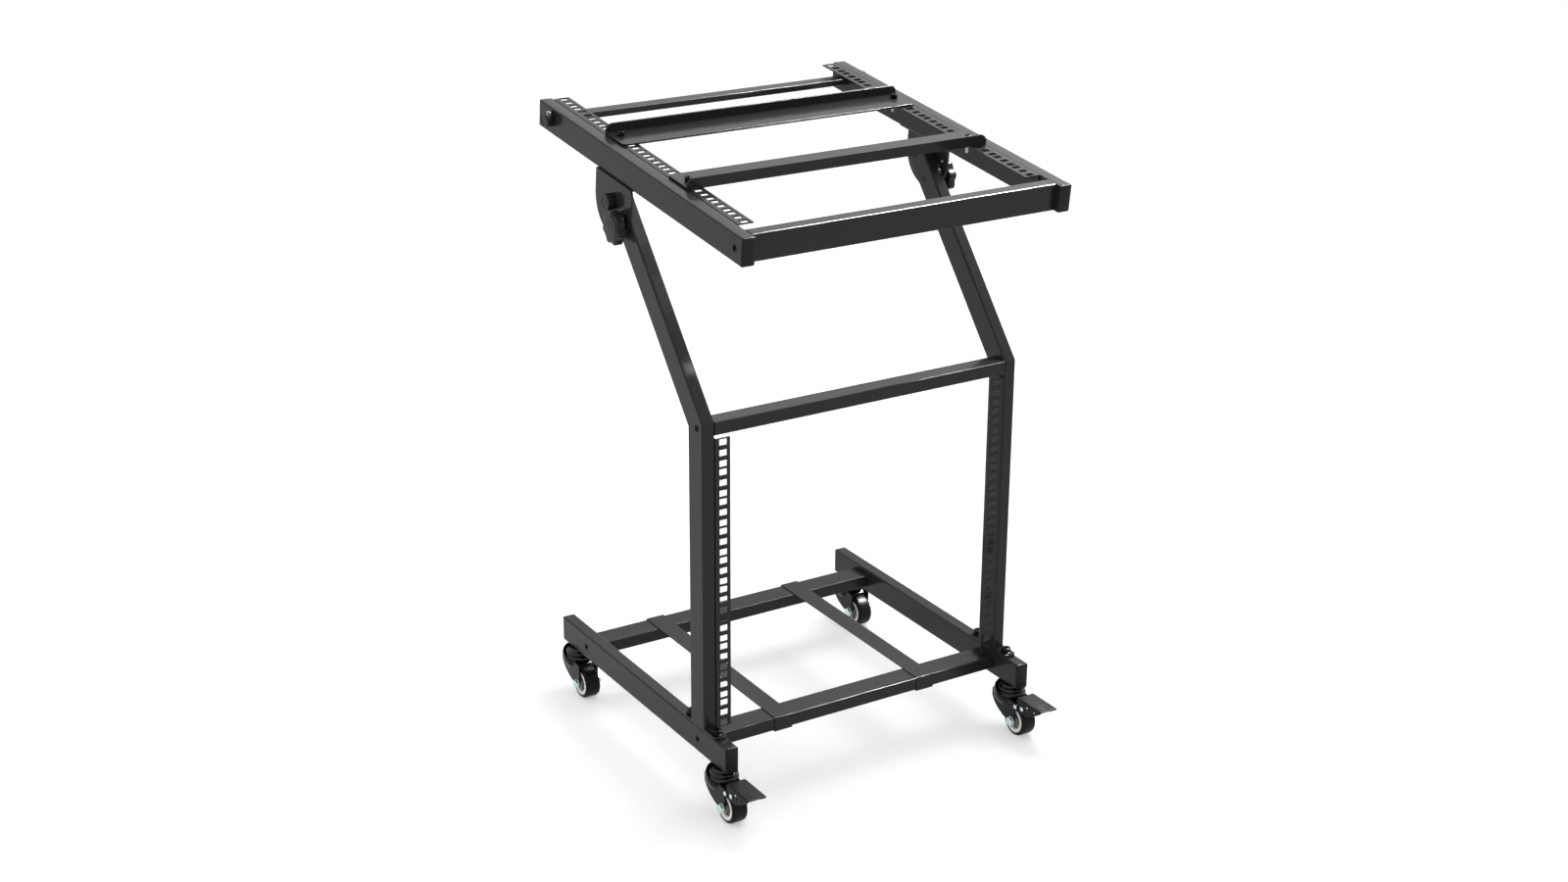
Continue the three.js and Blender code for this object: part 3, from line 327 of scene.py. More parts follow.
class Form:
    """Mesh being built in millimetres from bmesh operators, along Z until it is placed."""

    def __init__(self, mesh: bmesh.types.BMesh | None = None) -> None:
        """Start a form, empty or from a mesh that it takes over."""
        self.mesh = bmesh.new() if mesh is None else mesh

    def _take(self, part: bmesh.types.BMesh, placing: Matrix) -> Form:
        """Move a finished part into this form.

        Args:
            part: Part to take over; it is freed.
            placing: Where it goes in the form.

        Returns:
            This form.
        """
        bmesh.ops.remove_doubles(part, verts=part.verts, dist=POINT_SEAM)
        bmesh.ops.recalc_face_normals(part, faces=part.faces)
        bmesh.ops.transform(part, matrix=placing, verts=part.verts)
        if placing.determinant() < 0:
            bmesh.ops.reverse_faces(part, faces=part.faces)
        carrier = bpy.data.meshes.new("carrier")
        part.to_mesh(carrier)
        part.free()
        self.mesh.from_mesh(carrier)
        bpy.data.meshes.remove(carrier)
        return self

    def turned(self, profile: Profile, facets: int, placing: Matrix = HERE) -> Form:
        """Add a turned part.

        Args:
            profile: Points (radius, height), from axis to axis or a closed ring.
            facets: Facets round the axis.
            placing: Where it goes.

        Returns:
            This form.
        """
        part = bmesh.new()
        row = [part.verts.new((radius, 0, height)) for radius, height in profile]
        edges = [part.edges.new(pair) for pair in zip(row, row[1:])]
        bmesh.ops.spin(
            part, geom=row + edges, cent=(0, 0, 0), axis=(0, 0, 1), angle=math.tau, steps=facets,
            use_merge=True,
        )
        return self._take(part, placing)

    def rod(
        self, radius: float, low: float, high: float, facets: int, placing: Matrix = HERE
    ) -> Form:
        """Add a plain turned rod.

        Args:
            radius: Radius.
            low: Lower end.
            high: Upper end.
            facets: Facets round the axis.
            placing: Where it goes.

        Returns:
            This form.
        """
        return self.turned([(0, low), (radius, low), (radius, high), (0, high)], facets, placing)

    def plate(
        self, corners: Outline, low: float, high: float, edge: float = 0.0, placing: Matrix = HERE
    ) -> Form:
        """Add a plate with rounded corners.

        Args:
            corners: Points (u, v, corner radius) round the outline.
            low: Lower face.
            high: Upper face.
            edge: Width of the softened edges.
            placing: Where it goes.

        Returns:
            This form.
        """
        part = bmesh.new()
        row = [part.verts.new((u, v, low)) for u, v, _ in corners]
        part.faces.new(row)
        for vert, (_, _, radius) in zip(row, corners):
            if radius > 0:
                soften(part, [vert], radius, CORNER_FACETS, "VERTICES")
        self._thicken(part, high - low, edge)
        return self._take(part, placing)

    def fluted(
        self,
        radius_at: Callable[[float], float],
        points: int,
        low: float,
        high: float,
        edge: float,
        placing: Matrix = HERE,
    ) -> Form:
        """Add a disc whose rim is shaped round the axis.

        Args:
            radius_at: Radius for an angle in radians.
            points: Points round the rim.
            low: Lower face.
            high: Upper face.
            edge: Width of the softened rims.
            placing: Where it goes.

        Returns:
            This form.
        """
        part = bmesh.new()
        bmesh.ops.create_circle(part, cap_ends=True, segments=points, radius=1.0)
        for vert in part.verts:
            reach = radius_at(math.atan2(vert.co.y, vert.co.x))
            vert.co = Vector((vert.co.x * reach, vert.co.y * reach, low))
        self._thicken(part, high - low, edge)
        return self._take(part, placing)

    @staticmethod
    def _thicken(part: bmesh.types.BMesh, height: float, edge: float) -> None:
        """Give a flat outline its height and soften its two rims.

        Args:
            part: Mesh with one flat face.
            height: Height of the walls.
            edge: Width of the softened rims.
        """
        made = bmesh.ops.extrude_face_region(part, geom=part.faces[:])
        raised = [v for v in made["geom"] if isinstance(v, bmesh.types.BMVert)]
        bmesh.ops.translate(part, verts=raised, vec=(0, 0, height))
        bmesh.ops.recalc_face_normals(part, faces=part.faces)
        if edge > 0:
            rims = [
                e for e in part.edges
                if len(e.link_faces) == 2 and any(abs(f.normal.z) > LEVEL for f in e.link_faces)
            ]
            soften(part, rims, edge, RIM_FACETS)

    def block(
        self, low: Sequence[float], high: Sequence[float], edge: float, placing: Matrix = HERE
    ) -> Form:
        """Add a block with softened edges.

        Args:
            low: Lowest corner.
            high: Highest corner.
            edge: Width of the softened edges.
            placing: Where it goes.

        Returns:
            This form.
        """
        part = bmesh.new()
        bmesh.ops.create_cube(part, size=1.0)
        bmesh.ops.scale(part, vec=Vector(high) - Vector(low), verts=part.verts)
        soften(part, part.edges[:], edge, BLOCK_FACETS)
        bmesh.ops.translate(part, vec=(Vector(high) + Vector(low)) / 2, verts=part.verts)
        return self._take(part, placing)

    def _lend(self) -> bpy.types.Object:
        """Put the form into the scene for a modifier and empty it.

        Returns:
            The lent object, its faces cut to at most four corners.
        """
        mesh = bpy.data.meshes.new("lent_form")
        bmesh.ops.triangulate(self.mesh, faces=[f for f in self.mesh.faces if len(f.verts) > 4])
        self.mesh.to_mesh(mesh)
        self.mesh.clear()
        lent = bpy.data.objects.new("lent_form", mesh)
        bpy.context.scene.collection.objects.link(lent)
        return lent

    def _take_back(self, lent: bpy.types.Object) -> Form:
        """Take a lent form back with its modifiers applied.

        Args:
            lent: Object that was lent; it goes with its mesh.

        Returns:
            This form.
        """
        settled = lent.evaluated_get(bpy.context.evaluated_depsgraph_get())
        mesh = bpy.data.meshes.new_from_object(settled)
        self.mesh.from_mesh(mesh)
        for used in (mesh, lent.data):
            bpy.data.meshes.remove(used)
        return self

    def carved(self, other: Form, how: Carve) -> Form:
        """Join, cut or trim this form with another closed one.

        Args:
            other: Form that works on this one; it is emptied.
            how: What the other form does.

        Returns:
            This form.
        """
        lent, tool = self._lend(), other._lend()
        step = lent.modifiers.new("carve", "BOOLEAN")
        step.operation = how.value
        step.solver = "EXACT"
        step.object = tool
        self._take_back(lent)
        bpy.data.meshes.remove(tool.data)
        return self

    def recast(self, cell: float, passes: int, keep: float) -> Form:
        """Recast the form as one skin with softened edges, as a pressing has.

        Args:
            cell: Size of the skin's cells.
            passes: Smoothing passes; more make rounder edges.
            keep: Share of the faces that is kept.

        Returns:
            This form.
        """
        lent = self._lend()
        skin = lent.modifiers.new("skin", "REMESH")
        skin.mode = "VOXEL"
        skin.voxel_size = cell
        soft = lent.modifiers.new("soft", "SMOOTH")
        soft.factor = PASS_STRENGTH
        soft.iterations = passes
        thin = lent.modifiers.new("thin", "DECIMATE")
        thin.ratio = keep
        return self._take_back(lent)

    def join(self, other: Form, placing: Matrix = HERE) -> Form:
        """Take another form into this one.

        Args:
            other: Form to take; it is emptied.
            placing: Where it goes.

        Returns:
            This form.
        """
        return self._take(other.mesh, placing)

    def piece(
        self,
        name: str,
        finish: Finish,
        body: str,
        placing: Matrix,
        replaces: Iterable[str] = (),
        smooth: float = SMOOTH_ANGLE,
    ) -> bpy.types.Object:
        """Finish the form as a piece of the stand.

        Args:
            name: Piece name.
            finish: Surface finish.
            body: Body of the frame that it moves with.
            placing: Place in the stand, in metres but for the form's millimetres.
            replaces: Frame nodes that it stands for.
            smooth: Angle below which faces shade as one surface.

        Returns:
            The piece.
        """
        bmesh.ops.transform(self.mesh, matrix=placing @ Matrix.Scale(MM, 4), verts=self.mesh.verts)
        if placing.determinant() < 0:
            bmesh.ops.reverse_faces(self.mesh, faces=self.mesh.faces)
        mesh = bpy.data.meshes.new(name)
        self.mesh.to_mesh(mesh)
        self.mesh.free()
        return finish_piece(name, mesh, finish, body, replaces, smooth)


def finish_piece(
    name: str,
    mesh: bpy.types.Mesh,
    finish: Finish,
    body: str,
    replaces: Iterable[str],
    smooth: float,
) -> bpy.types.Object:
    """Dress a mesh, link it and tie it to its body.

    Args:
        name: Piece name.
        mesh: Mesh in metres, in place.
        finish: Surface finish.
        body: Body of the frame that it moves with.
        replaces: Frame nodes that it stands for.
        smooth: Angle below which faces shade as one surface.

    Returns:
        The piece.
    """
    mesh.materials.clear()
    mesh.materials.append(finish.material())
    mesh.shade_smooth()
    mesh.set_sharp_from_angle(angle=math.radians(smooth))
    piece = bpy.data.objects.new(name, mesh)
    bpy.context.scene.collection.objects.link(piece)
    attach(piece, body)
    nodes = list(replaces)
    if nodes:
        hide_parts(*nodes)
    LOG.info("%s rides on %s, %d faces", name, body, len(mesh.polygons))
    return piece


def shade_flat_faces(piece: bpy.types.Object) -> None:
    """Let a piece's large faces shade flat up to their softened edges."""
    piece.modifiers.new("flat_faces", "WEIGHTED_NORMAL").keep_sharp = True


def at(x: float, y: float, z: float) -> Matrix:
    """Return a shift in millimetres."""
    return Matrix.Translation((x, y, z))


def stand_at(x: float, y: float, z: float) -> Matrix:
    """Return a shift given in millimetres, as a matrix in metres."""
    return Matrix.Translation(Vector((x, y, z)) * MM)


def outward(sign: int) -> Matrix:
    """Return the turn that lays a form drawn along Z to the left, -1, or to the right, 1."""
    return (Axis.X if sign > 0 else Axis.MINUS_X).value


def node_centre(node: str) -> Vector:
    """Return the middle of a frame node's box, in millimetres."""
    low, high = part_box(node)
    return (low + high) / 2 / MM


def joint_place(name: str) -> Vector:
    """Return a joint's point in millimetres."""
    joint = next(j for j in frame["joints"] if j["name"] == name)
    return Vector(joint["pos_m"]) / MM


def local_box(node: str, turn: Matrix) -> tuple[Vector, Vector]:
    """Measure a frame node along the axes of the part that it belongs to.

    Args:
        node: Frame node.
        turn: Turn of that part as it stands.

    Returns:
        Lowest and highest corner in metres.
    """
    back = turn.inverted()
    points = [back @ v.co for v in frame["nodes"][node].data.vertices]
    low, high = (Vector(edge(p[n] for p in points) for n in range(3)) for edge in (min, max))
    return low, high


# Coated steel


@dataclass
class CoatedSteel:
    """Frame nodes of coated steel, copied with merged faces and softened edges.

    Attributes:
        tubes: How the names of tube nodes start.
        sheets: How the names of bent sheet nodes start.
        tube_edge: Width of a tube's softened edges.
        sheet_edge: Width of bent sheet's softened edges.
        tube_round: Width of the softening at the tubes' long corners.
        edge_facets: Facets of a softened edge.
        least_turn: Turn from which an edge is softened.
        cut_turn: Turn at the edges of a cut corner.
        cut_spread: How far that turn may differ.
        cut_share: Share of a cut's width that its rounding takes.
        least_cut: Width from which a cut corner is rounded.
        corner_facets: Facets of a rounded cut corner.
        long_edge: Length from which a cut is a tube's long corner.
        short_edge: Length up to which a cut is the corner of sheet.
        bracket_arcs: Radii of the tilt bracket's arcs about the pivot.
        arc_spread: How far a point of an arc may stand from its radius.
        arc_cuts: Cuts that make a facet of such an arc finer.
        plane: How far both ends of a line may stand apart across such an arc.
        seam: Distance within which vertices are one.
        flat: Angle within which faces are one plane.
    """

    tubes: tuple[str, ...] = (
        "base_beam", "base_bar", "upright", "cross_bar", "table_beam", "table_bar"
    )
    sheets: tuple[str, ...] = ("rack_rail", "stop_bar")
    tube_edge: float = 0.4
    sheet_edge: float = 0.3
    tube_round: float = 1.15
    edge_facets: int = 3
    least_turn: float = 28.0
    cut_turn: float = 45.0
    cut_spread: float = 4.0
    cut_share: float = 0.4
    least_cut: float = 4.0
    corner_facets: int = 5
    long_edge: float = 25.0
    short_edge: float = 5.0
    bracket_arcs: tuple[float, ...] = (53.0, 44.35, 35.65)
    arc_spread: float = 0.03
    arc_cuts: int = 3
    plane: float = 0.001
    seam: float = 0.004
    flat: float = 0.4

    def build(self) -> None:
        """Dress every coated node."""
        for node in sorted(frame["nodes"]):
            if node.startswith(self.tubes):
                self._dress(node, self.tube_edge)
            elif node.startswith(self.sheets):
                self._dress(node, self.sheet_edge)

    def _dress(self, node: str, edge: float) -> None:
        """Copy one node with softened edges.

        Args:
            node: Frame node.
            edge: Width of the softened edges.
        """
        source = frame["nodes"][node]
        part = bmesh.new()
        part.from_mesh(source.data)
        bmesh.ops.remove_doubles(part, verts=part.verts, dist=self.seam * MM)
        bmesh.ops.dissolve_limit(
            part, angle_limit=math.radians(self.flat), use_dissolve_boundaries=False,
            verts=part.verts, edges=part.edges,
        )
        if node.startswith("table_beam"):
            self._round_arcs(part)
        self._round_corners(part)
        self._weigh_edges(part, edge)
        name = f"{node}_coated"
        mesh = bpy.data.meshes.new(name)
        part.to_mesh(mesh)
        part.free()
        piece = finish_piece(name, mesh, POWDER, source["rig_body"], [node], SHEET_ANGLE)
        bevel = piece.modifiers.new("soft_edges", "BEVEL")
        bevel.width = self.tube_round * MM
        bevel.segments = self.edge_facets
        bevel.limit_method = "WEIGHT"
        bevel.use_clamp_overlap = True
        shade_flat_faces(piece)

    def _round_arcs(self, part: bmesh.types.BMesh) -> None:
        """Draw the arcs of a tilt bracket about the pivot finely.

        Args:
            part: Merged copy of a top beam, in metres.
        """
        pivot = joint_place("top_frame_tilt") * MM

        def reach(vert: bmesh.types.BMVert) -> float:
            """Return a corner's distance from the pivot's axis, in millimetres."""
            return math.hypot(vert.co.y - pivot.y, vert.co.z - pivot.z) / MM

        def lies_flat(edge: bmesh.types.BMEdge) -> bool:
            """Return whether an edge lies in one plane across the pivot's axis."""
            return abs(edge.verts[0].co.x - edge.verts[1].co.x) < self.plane * MM

        for radius in self.bracket_arcs:
            arc = [
                e for e in part.edges
                if lies_flat(e) and all(abs(reach(v) - radius) < self.arc_spread for v in e.verts)
            ]
            cuts = bmesh.ops.subdivide_edges(
                part, edges=arc, cuts=self.arc_cuts, use_grid_fill=True
            )
            for vert in (v for v in cuts["geom_inner"] if isinstance(v, bmesh.types.BMVert)):
                grow = radius / reach(vert)
                vert.co.y = pivot.y + (vert.co.y - pivot.y) * grow
                vert.co.z = pivot.z + (vert.co.z - pivot.z) * grow

    def _is_cut(self, line: bmesh.types.BMEdge) -> bool:
        """Return whether an edge bounds a cut corner."""
        return abs(math.degrees(line.calc_face_angle()) - self.cut_turn) < self.cut_spread

    @staticmethod
    def _width_beside(line: bmesh.types.BMEdge) -> float:
        """Return the width of the narrower face beside an edge."""
        return min(f.calc_area() for f in line.link_faces) / line.calc_length() / MM

    def _round_corners(self, part: bmesh.types.BMesh) -> None:
        """Round the cut corners of bent sheet and foot plates.

        Args:
            part: Merged copy of a frame node, in metres.
        """
        groups: dict[float, list[bmesh.types.BMEdge]] = {}
        for line in part.edges:
            if len(line.link_faces) != 2 or line.calc_length() / MM > self.short_edge:
                continue
            if self._is_cut(line):
                width = self._width_beside(line)
                if width > self.least_cut:
                    groups.setdefault(round(self.cut_share * width, 1), []).append(line)
        for reach, lines in groups.items():
            left = [e for e in lines if e.is_valid]
            soften(part, left, reach * MM, self.corner_facets)

    def _weigh_edges(self, part: bmesh.types.BMesh, edge: float) -> None:
        """Note how far each edge is softened: the tubes' long corners are rounded fully.

        Args:
            part: Merged copy of a frame node, in metres.
            edge: Width of the usual softened edge.
        """
        weight = part.edges.layers.float.new("bevel_weight_edge")
        for line in part.edges:
            if len(line.link_faces) != 2:
                continue
            if math.degrees(line.calc_face_angle()) < self.least_turn:
                continue
            line[weight] = edge / self.tube_round
            if self._is_cut(line) and line.calc_length() > self.long_edge * MM:
                width = self._width_beside(line)
                line[weight] = min(1.0, self.cut_share * width / self.tube_round)


@dataclass
class Straps:
    """Thin steel straps that run over the base bars and hook round them.

    Attributes:
        sheet: Thickness of the strap.
        solid_sheet: Thickness that the frame's solid gives it, kept clear round the bars.
        hook: Length of the hook's end under a bar.
        bend: Outer radius of the bends.
        edge: Width of the softened edges.
    """

    sheet: float = 1.0
    solid_sheet: float = 2.5
    hook: float = 6.0
    bend: float = 1.0
    edge: float = 0.15

    def build(self) -> None:
        """Build both straps."""
        for side in Side:
            self._strap(f"strap_{side.word}")

    def _strap(self, node: str) -> None:
        """Build one strap on the inner faces of the solid that it stands for.

        Args:
            node: Frame node that it stands for, also its body.
        """
        low, high = (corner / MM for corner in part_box(node))
        front, rear = low.y + self.solid_sheet, high.y - self.solid_sheet
        under, over = low.z + self.solid_sheet, high.z - self.solid_sheet
        t, bend, hook = self.sheet, self.bend, self.hook
        outline = [
            (front - t, over + t, bend), (front - t, under - t, bend),
            (front + hook, under - t, 0), (front + hook, under, 0), (front, under, 0),
            (front, over, 0), (rear, over, 0), (rear, under, 0),
            (rear - hook, under, 0), (rear - hook, under - t, 0),
            (rear + t, under - t, bend), (rear + t, over + t, bend),
        ]
        form = Form().plate(outline, low.x, high.x, self.edge, SIDE_VIEW)
        strap = form.piece(f"{node}_coated", POWDER, node, HERE, [node], SHEET_ANGLE)
        shade_flat_faces(strap)


# Small parts


@dataclass
class EndCaps:
    """Moulded caps that close the ends of the tubes.

    Attributes:
        width: Width of the flange, as the tube's.
        height: Height of the flange.
        flange: Thickness of the flange.
        corner: Corner radius of the flange.
        rim: Width of the flange's softened rims.
        plug_inset: Flange's edge to the plug.
        plug: Length of the plug.
        plug_corner: Corner radius of the plug.
        plug_rim: Width of the plug's softened rims.
        overlap: How far the plug reaches into the flange.
    """

    width: float = 20.0
    height: float = 40.0
    flange: float = 2.0
    corner: float = 2.2
    rim: float = 0.9
    plug_inset: float = 2.3
    plug: float = 10.0
    plug_corner: float = 1.0
    plug_rim: float = 0.5
    overlap: float = 0.2

    def build(self) -> None:
        """Build the eight caps."""
        for group, body, turn in (("base", "frame", HERE), ("table", "top_frame", TOP_TILT)):
            for place in Place:
                for side in Side:
                    self._cap(f"{group}_cap_{place.value}_{side.word}", body, turn, place)

    def _section(self, inset: float, corner: float) -> Outline:
        """Draw the tube's section, drawn in by an inset.

        Args:
            inset: Distance inside the flange's edge.
            corner: Corner radius.

        Returns:
            The outline.
        """
        w, h = self.width / 2 - inset, self.height / 2 - inset
        return [(-w, -h, corner), (w, -h, corner), (w, h, corner), (-w, h, corner)]

    def _cap(self, node: str, body: str, turn: Matrix, place: Place) -> None:
        """Build one cap.

        Args:
            node: Frame node that it stands for.
            body: Body that it moves with.
            turn: Turn of its beam.
            place: End of the beam.
        """
        low, high = (corner / MM for corner in local_box(node, turn))
        middle = (low + high) / 2
        end, axis = (high.y, Axis.Y) if place is Place.REAR else (low.y, Axis.MINUS_Y)
        form = Form().plate(self._section(0.0, self.corner), -self.flange, 0.0, self.rim)
        form.plate(
            self._section(self.plug_inset, self.plug_corner), -self.flange - self.plug,
            -self.flange + self.overlap, self.plug_rim,
        )
        placing = turn @ stand_at(middle.x, end, middle.z) @ axis.value
        form.piece(f"{node}_moulded", CAP, body, placing, [node])


@dataclass(frozen=True)
class SocketHead:
    """Socket head cap that stands on z = 0.

    Attributes:
        radius: Head radius.
        height: Head height.
        socket: Socket radius over its corners.
        depth: Socket depth.
        soft: Share of the head's radius that its rounded edge takes.
        soft_middle: Share of that rounding at its middle.
        lip: Depth of the countersink.
        shares: Shares of the socket's radius at its mouth, below the lip and at its floor.
        wall: Share of the socket's radius at the hexagon's corners.
        wall_sheet: Thickness of the hexagon's wall.
        wall_short: How much lower than the socket that wall is.
        wall_drop: How far its middle stands below the socket's.
        facets: Facets round the head.
    """

    radius: float
    height: float
    socket: float
    depth: float
    soft: float = 0.12
    soft_middle: float = 0.3
    lip: float = 0.25
    shares: tuple[float, float, float] = (1.06, 0.98, 0.9)
    wall: float = 0.97
    wall_sheet: float = 0.12
    wall_short: float = 0.3
    wall_drop: float = 0.1
    facets: int = 40

    def form(self) -> Form:
        """Model the head.

        Returns:
            The head with its hexagonal socket.
        """
        r, top, floor = self.radius, self.height, self.height - self.depth
        soft = self.soft * r
        middle = self.soft_middle * soft
        mouth, neck, base = (self.socket * share for share in self.shares)
        form = Form().turned(
            [(0, 0), (r, 0), (r, top - soft), (r - middle, top - middle), (r - soft, top),
             (mouth, top), (neck, top - self.lip), (base, floor), (0, floor)], self.facets,
        )
        wall = bmesh.new()
        reach = self.socket * self.wall
        bmesh.ops.create_cone(
            wall, cap_ends=False, segments=6, radius1=reach, radius2=reach,
            depth=self.depth - self.wall_short,
        )
        lift = top - self.depth / 2 - self.wall_drop
        bmesh.ops.translate(wall, verts=wall.verts, vec=(0, 0, lift))
        bmesh.ops.solidify(wall, geom=wall.faces[:], thickness=self.wall_sheet)
        return form.join(Form(wall))


@dataclass(frozen=True)
class Thread:
    """Threaded end, a stack of turned ridges along Z.

    Attributes:
        radius: Crest radius.
        pitch: Distance between crests.
        deep: Share of the pitch between crest and root.
        crest: Shares of the pitch where a crest starts and ends.
        facets: Facets round the axis.
    """

    radius: float
    pitch: float = 1.0
    deep: float = 0.6
    crest: tuple[float, float] = (0.4, 0.6)
    facets: int = 28

    def form(self, low: float, high: float) -> Form:
        """Model the threaded rod.

        Args:
            low: Lower end.
            high: Upper end.

        Returns:
            The rod.
        """
        root = self.radius - self.deep * self.pitch
        profile: list[tuple[float, float]] = [(0, low), (root, low)]
        height = low
        while height + self.pitch < high:
            profile += [(self.radius, height + share * self.pitch) for share in self.crest]
            height += self.pitch
            profile.append((root, height))
        profile += [(root, high), (0, high)]
        return Form().turned(profile, self.facets)


@dataclass
class Fasteners:
    """Screws of the steel frame: foot bolts, joint screws and stop bar screws.

    Attributes:
        overlap: How far a shank reaches into its head.
        foot_head: Head of a foot bolt.
        foot_shank: Radius of its shank.
        foot_length: Length of its shank.
        foot_facets: Facets of its shank.
        washer: Radius of its washer.
        washer_sheet: Thickness of the washer.
        joint_head: Head of a joint screw.
        joint_sink: How deep its seat lies under the tube's face.
        ring: Outer radius of the pressed ring about it.
        ring_gap: Head to the ring.
        stop_head: Head of a stop bar screw.
        stop_shank: Radius of its shank.
        stop_length: Length of its shank, down to the bare thread.
        insert: Insert in the rail's hole, as lowest and highest corner from the seat.
        insert_plate: Plate of the insert below the rail, the same way.
        insert_edge: Width of their softened edges.
        stop_thread: Bare thread of the screw.
        stop_thread_top: Height of that thread's upper end from the seat.
        stop_thread_more: How much further that thread reaches than the solid's.
    """

    overlap: float = 0.2
    foot_head: SocketHead = SocketHead(6.5, 6.0, 3.0, 3.2)
    foot_shank: float = 4.0
    foot_length: float = 12.0
    foot_facets: int = 20
    washer: float = 8.5
    washer_sheet: float = 1.5
    joint_head: SocketHead = SocketHead(4.7, 2.4, 2.9, 1.8)
    joint_sink: float = 2.6
    ring: float = 5.6
    ring_gap: float = 0.2
    stop_head: SocketHead = SocketHead(5.0, 6.0, 2.6, 2.8)
    stop_shank: float = 3.05
    stop_length: float = 7.0
    insert: tuple[Point, Point] = ((-5.9, -4.4, -7.1), (5.9, 4.4, -3.7))
    insert_plate: tuple[Point, Point] = ((-7.2, -5.7, -7.25), (7.2, 5.7, -6.05))
    insert_edge: float = 0.3
    stop_thread: Thread = Thread(3.0)
    stop_thread_top: float = -7.2
    stop_thread_more: float = 3.5

    def build(self) -> None:
        """Build all screws."""
        for side in Side:
            for place in Place:
                self._foot_bolt(f"foot_bolt_{place.value}_{side.word}")
                self._stop_screw(f"stop_screw_{place.value}_{side.word}")
        self._joint_screws("bend", "frame", HERE, "cross_bar_bend")
        for place in Place:
            self._joint_screws(f"base_{place.value}", "frame", HERE, f"base_bar_{place.value}")
        self._joint_screws("table_front", "top_frame", TOP_TILT, "table_bar_front")

    def _foot_bolt(self, node: str) -> None:
        """Build one foot bolt with its washer.

        Args:
            node: Frame node that it stands for.
        """
        r, t = self.washer, self.washer_sheet
        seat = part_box(node)[1].z / MM - t - self.foot_head.height
        middle = node_centre(node)
        form = Form().turned(
            [(0, 0), (r - 0.2, 0), (r, 0.3), (r, t - 0.3), (r - 0.4, t), (0, t)],
            self.foot_head.facets,
        )
        form.join(self.foot_head.form(), at(0, 0, t))
        form.rod(self.foot_shank, -self.foot_length, self.overlap, self.foot_facets)
        form.piece(f"{node}_socket", BLACKED, "frame", stand_at(middle.x, middle.y, seat), [node])

    def _stop_screw(self, node: str) -> None:
        """Build one stop bar screw: black head and insert above, bright thread below.

        Args:
            node: Frame node that it stands for.
        """
        low, high = local_box(node, TOP_TILT)
        middle = TOP_TILT.inverted() @ (node_centre(node) * MM) / MM
        seat = high.z / MM - self.stop_head.height
        place = TOP_TILT @ stand_at(middle.x, middle.y, seat)
        head = self.stop_head.form()
        head.rod(self.stop_shank, -self.stop_length, self.overlap, self.stop_thread.facets)
        head.block(*self.insert, self.insert_edge)
        head.block(*self.insert_plate, self.insert_edge)
        head.piece(f"{node}_head", BLACKED, "top_frame", place, [node])
        end = low.z / MM - seat - self.stop_thread_more
        rod = self.stop_thread.form(end, self.stop_thread_top)
        rod.piece(f"{node}_thread", BARE, "top_frame", place)

    def _joint_screws(self, word: str, body: str, turn: Matrix, bar: str) -> None:
        """Build the recessed screws at both ends of a cross bar.

        Args:
            word: Word for the bar in the screws' names.
            body: Body that the bar belongs to.
            turn: Turn of that body as it stands.
            bar: Frame node of the bar.
        """
        middle = turn.inverted() @ (node_centre(bar) * MM) / MM
        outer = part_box("base_beam_right")[1].x / MM
        r, hole = self.ring, self.joint_head.radius + self.ring_gap
        for side in Side:
            form = Form().turned(
                [(r, -0.1), (r, 0.18), (r - 0.5, 0.3), (hole, -0.4), (hole, -1.2), (r, -1.2),
                 (r, -0.1)], self.joint_head.facets,
            )
            form.join(self.joint_head.form(), at(0, 0, -self.joint_sink))
            place = turn @ stand_at(side.sign * outer, middle.y, middle.z) @ outward(side.sign)
            form.piece(f"joint_screw_{word}_{side.word}", BLACKED, body, place)


# Knobs


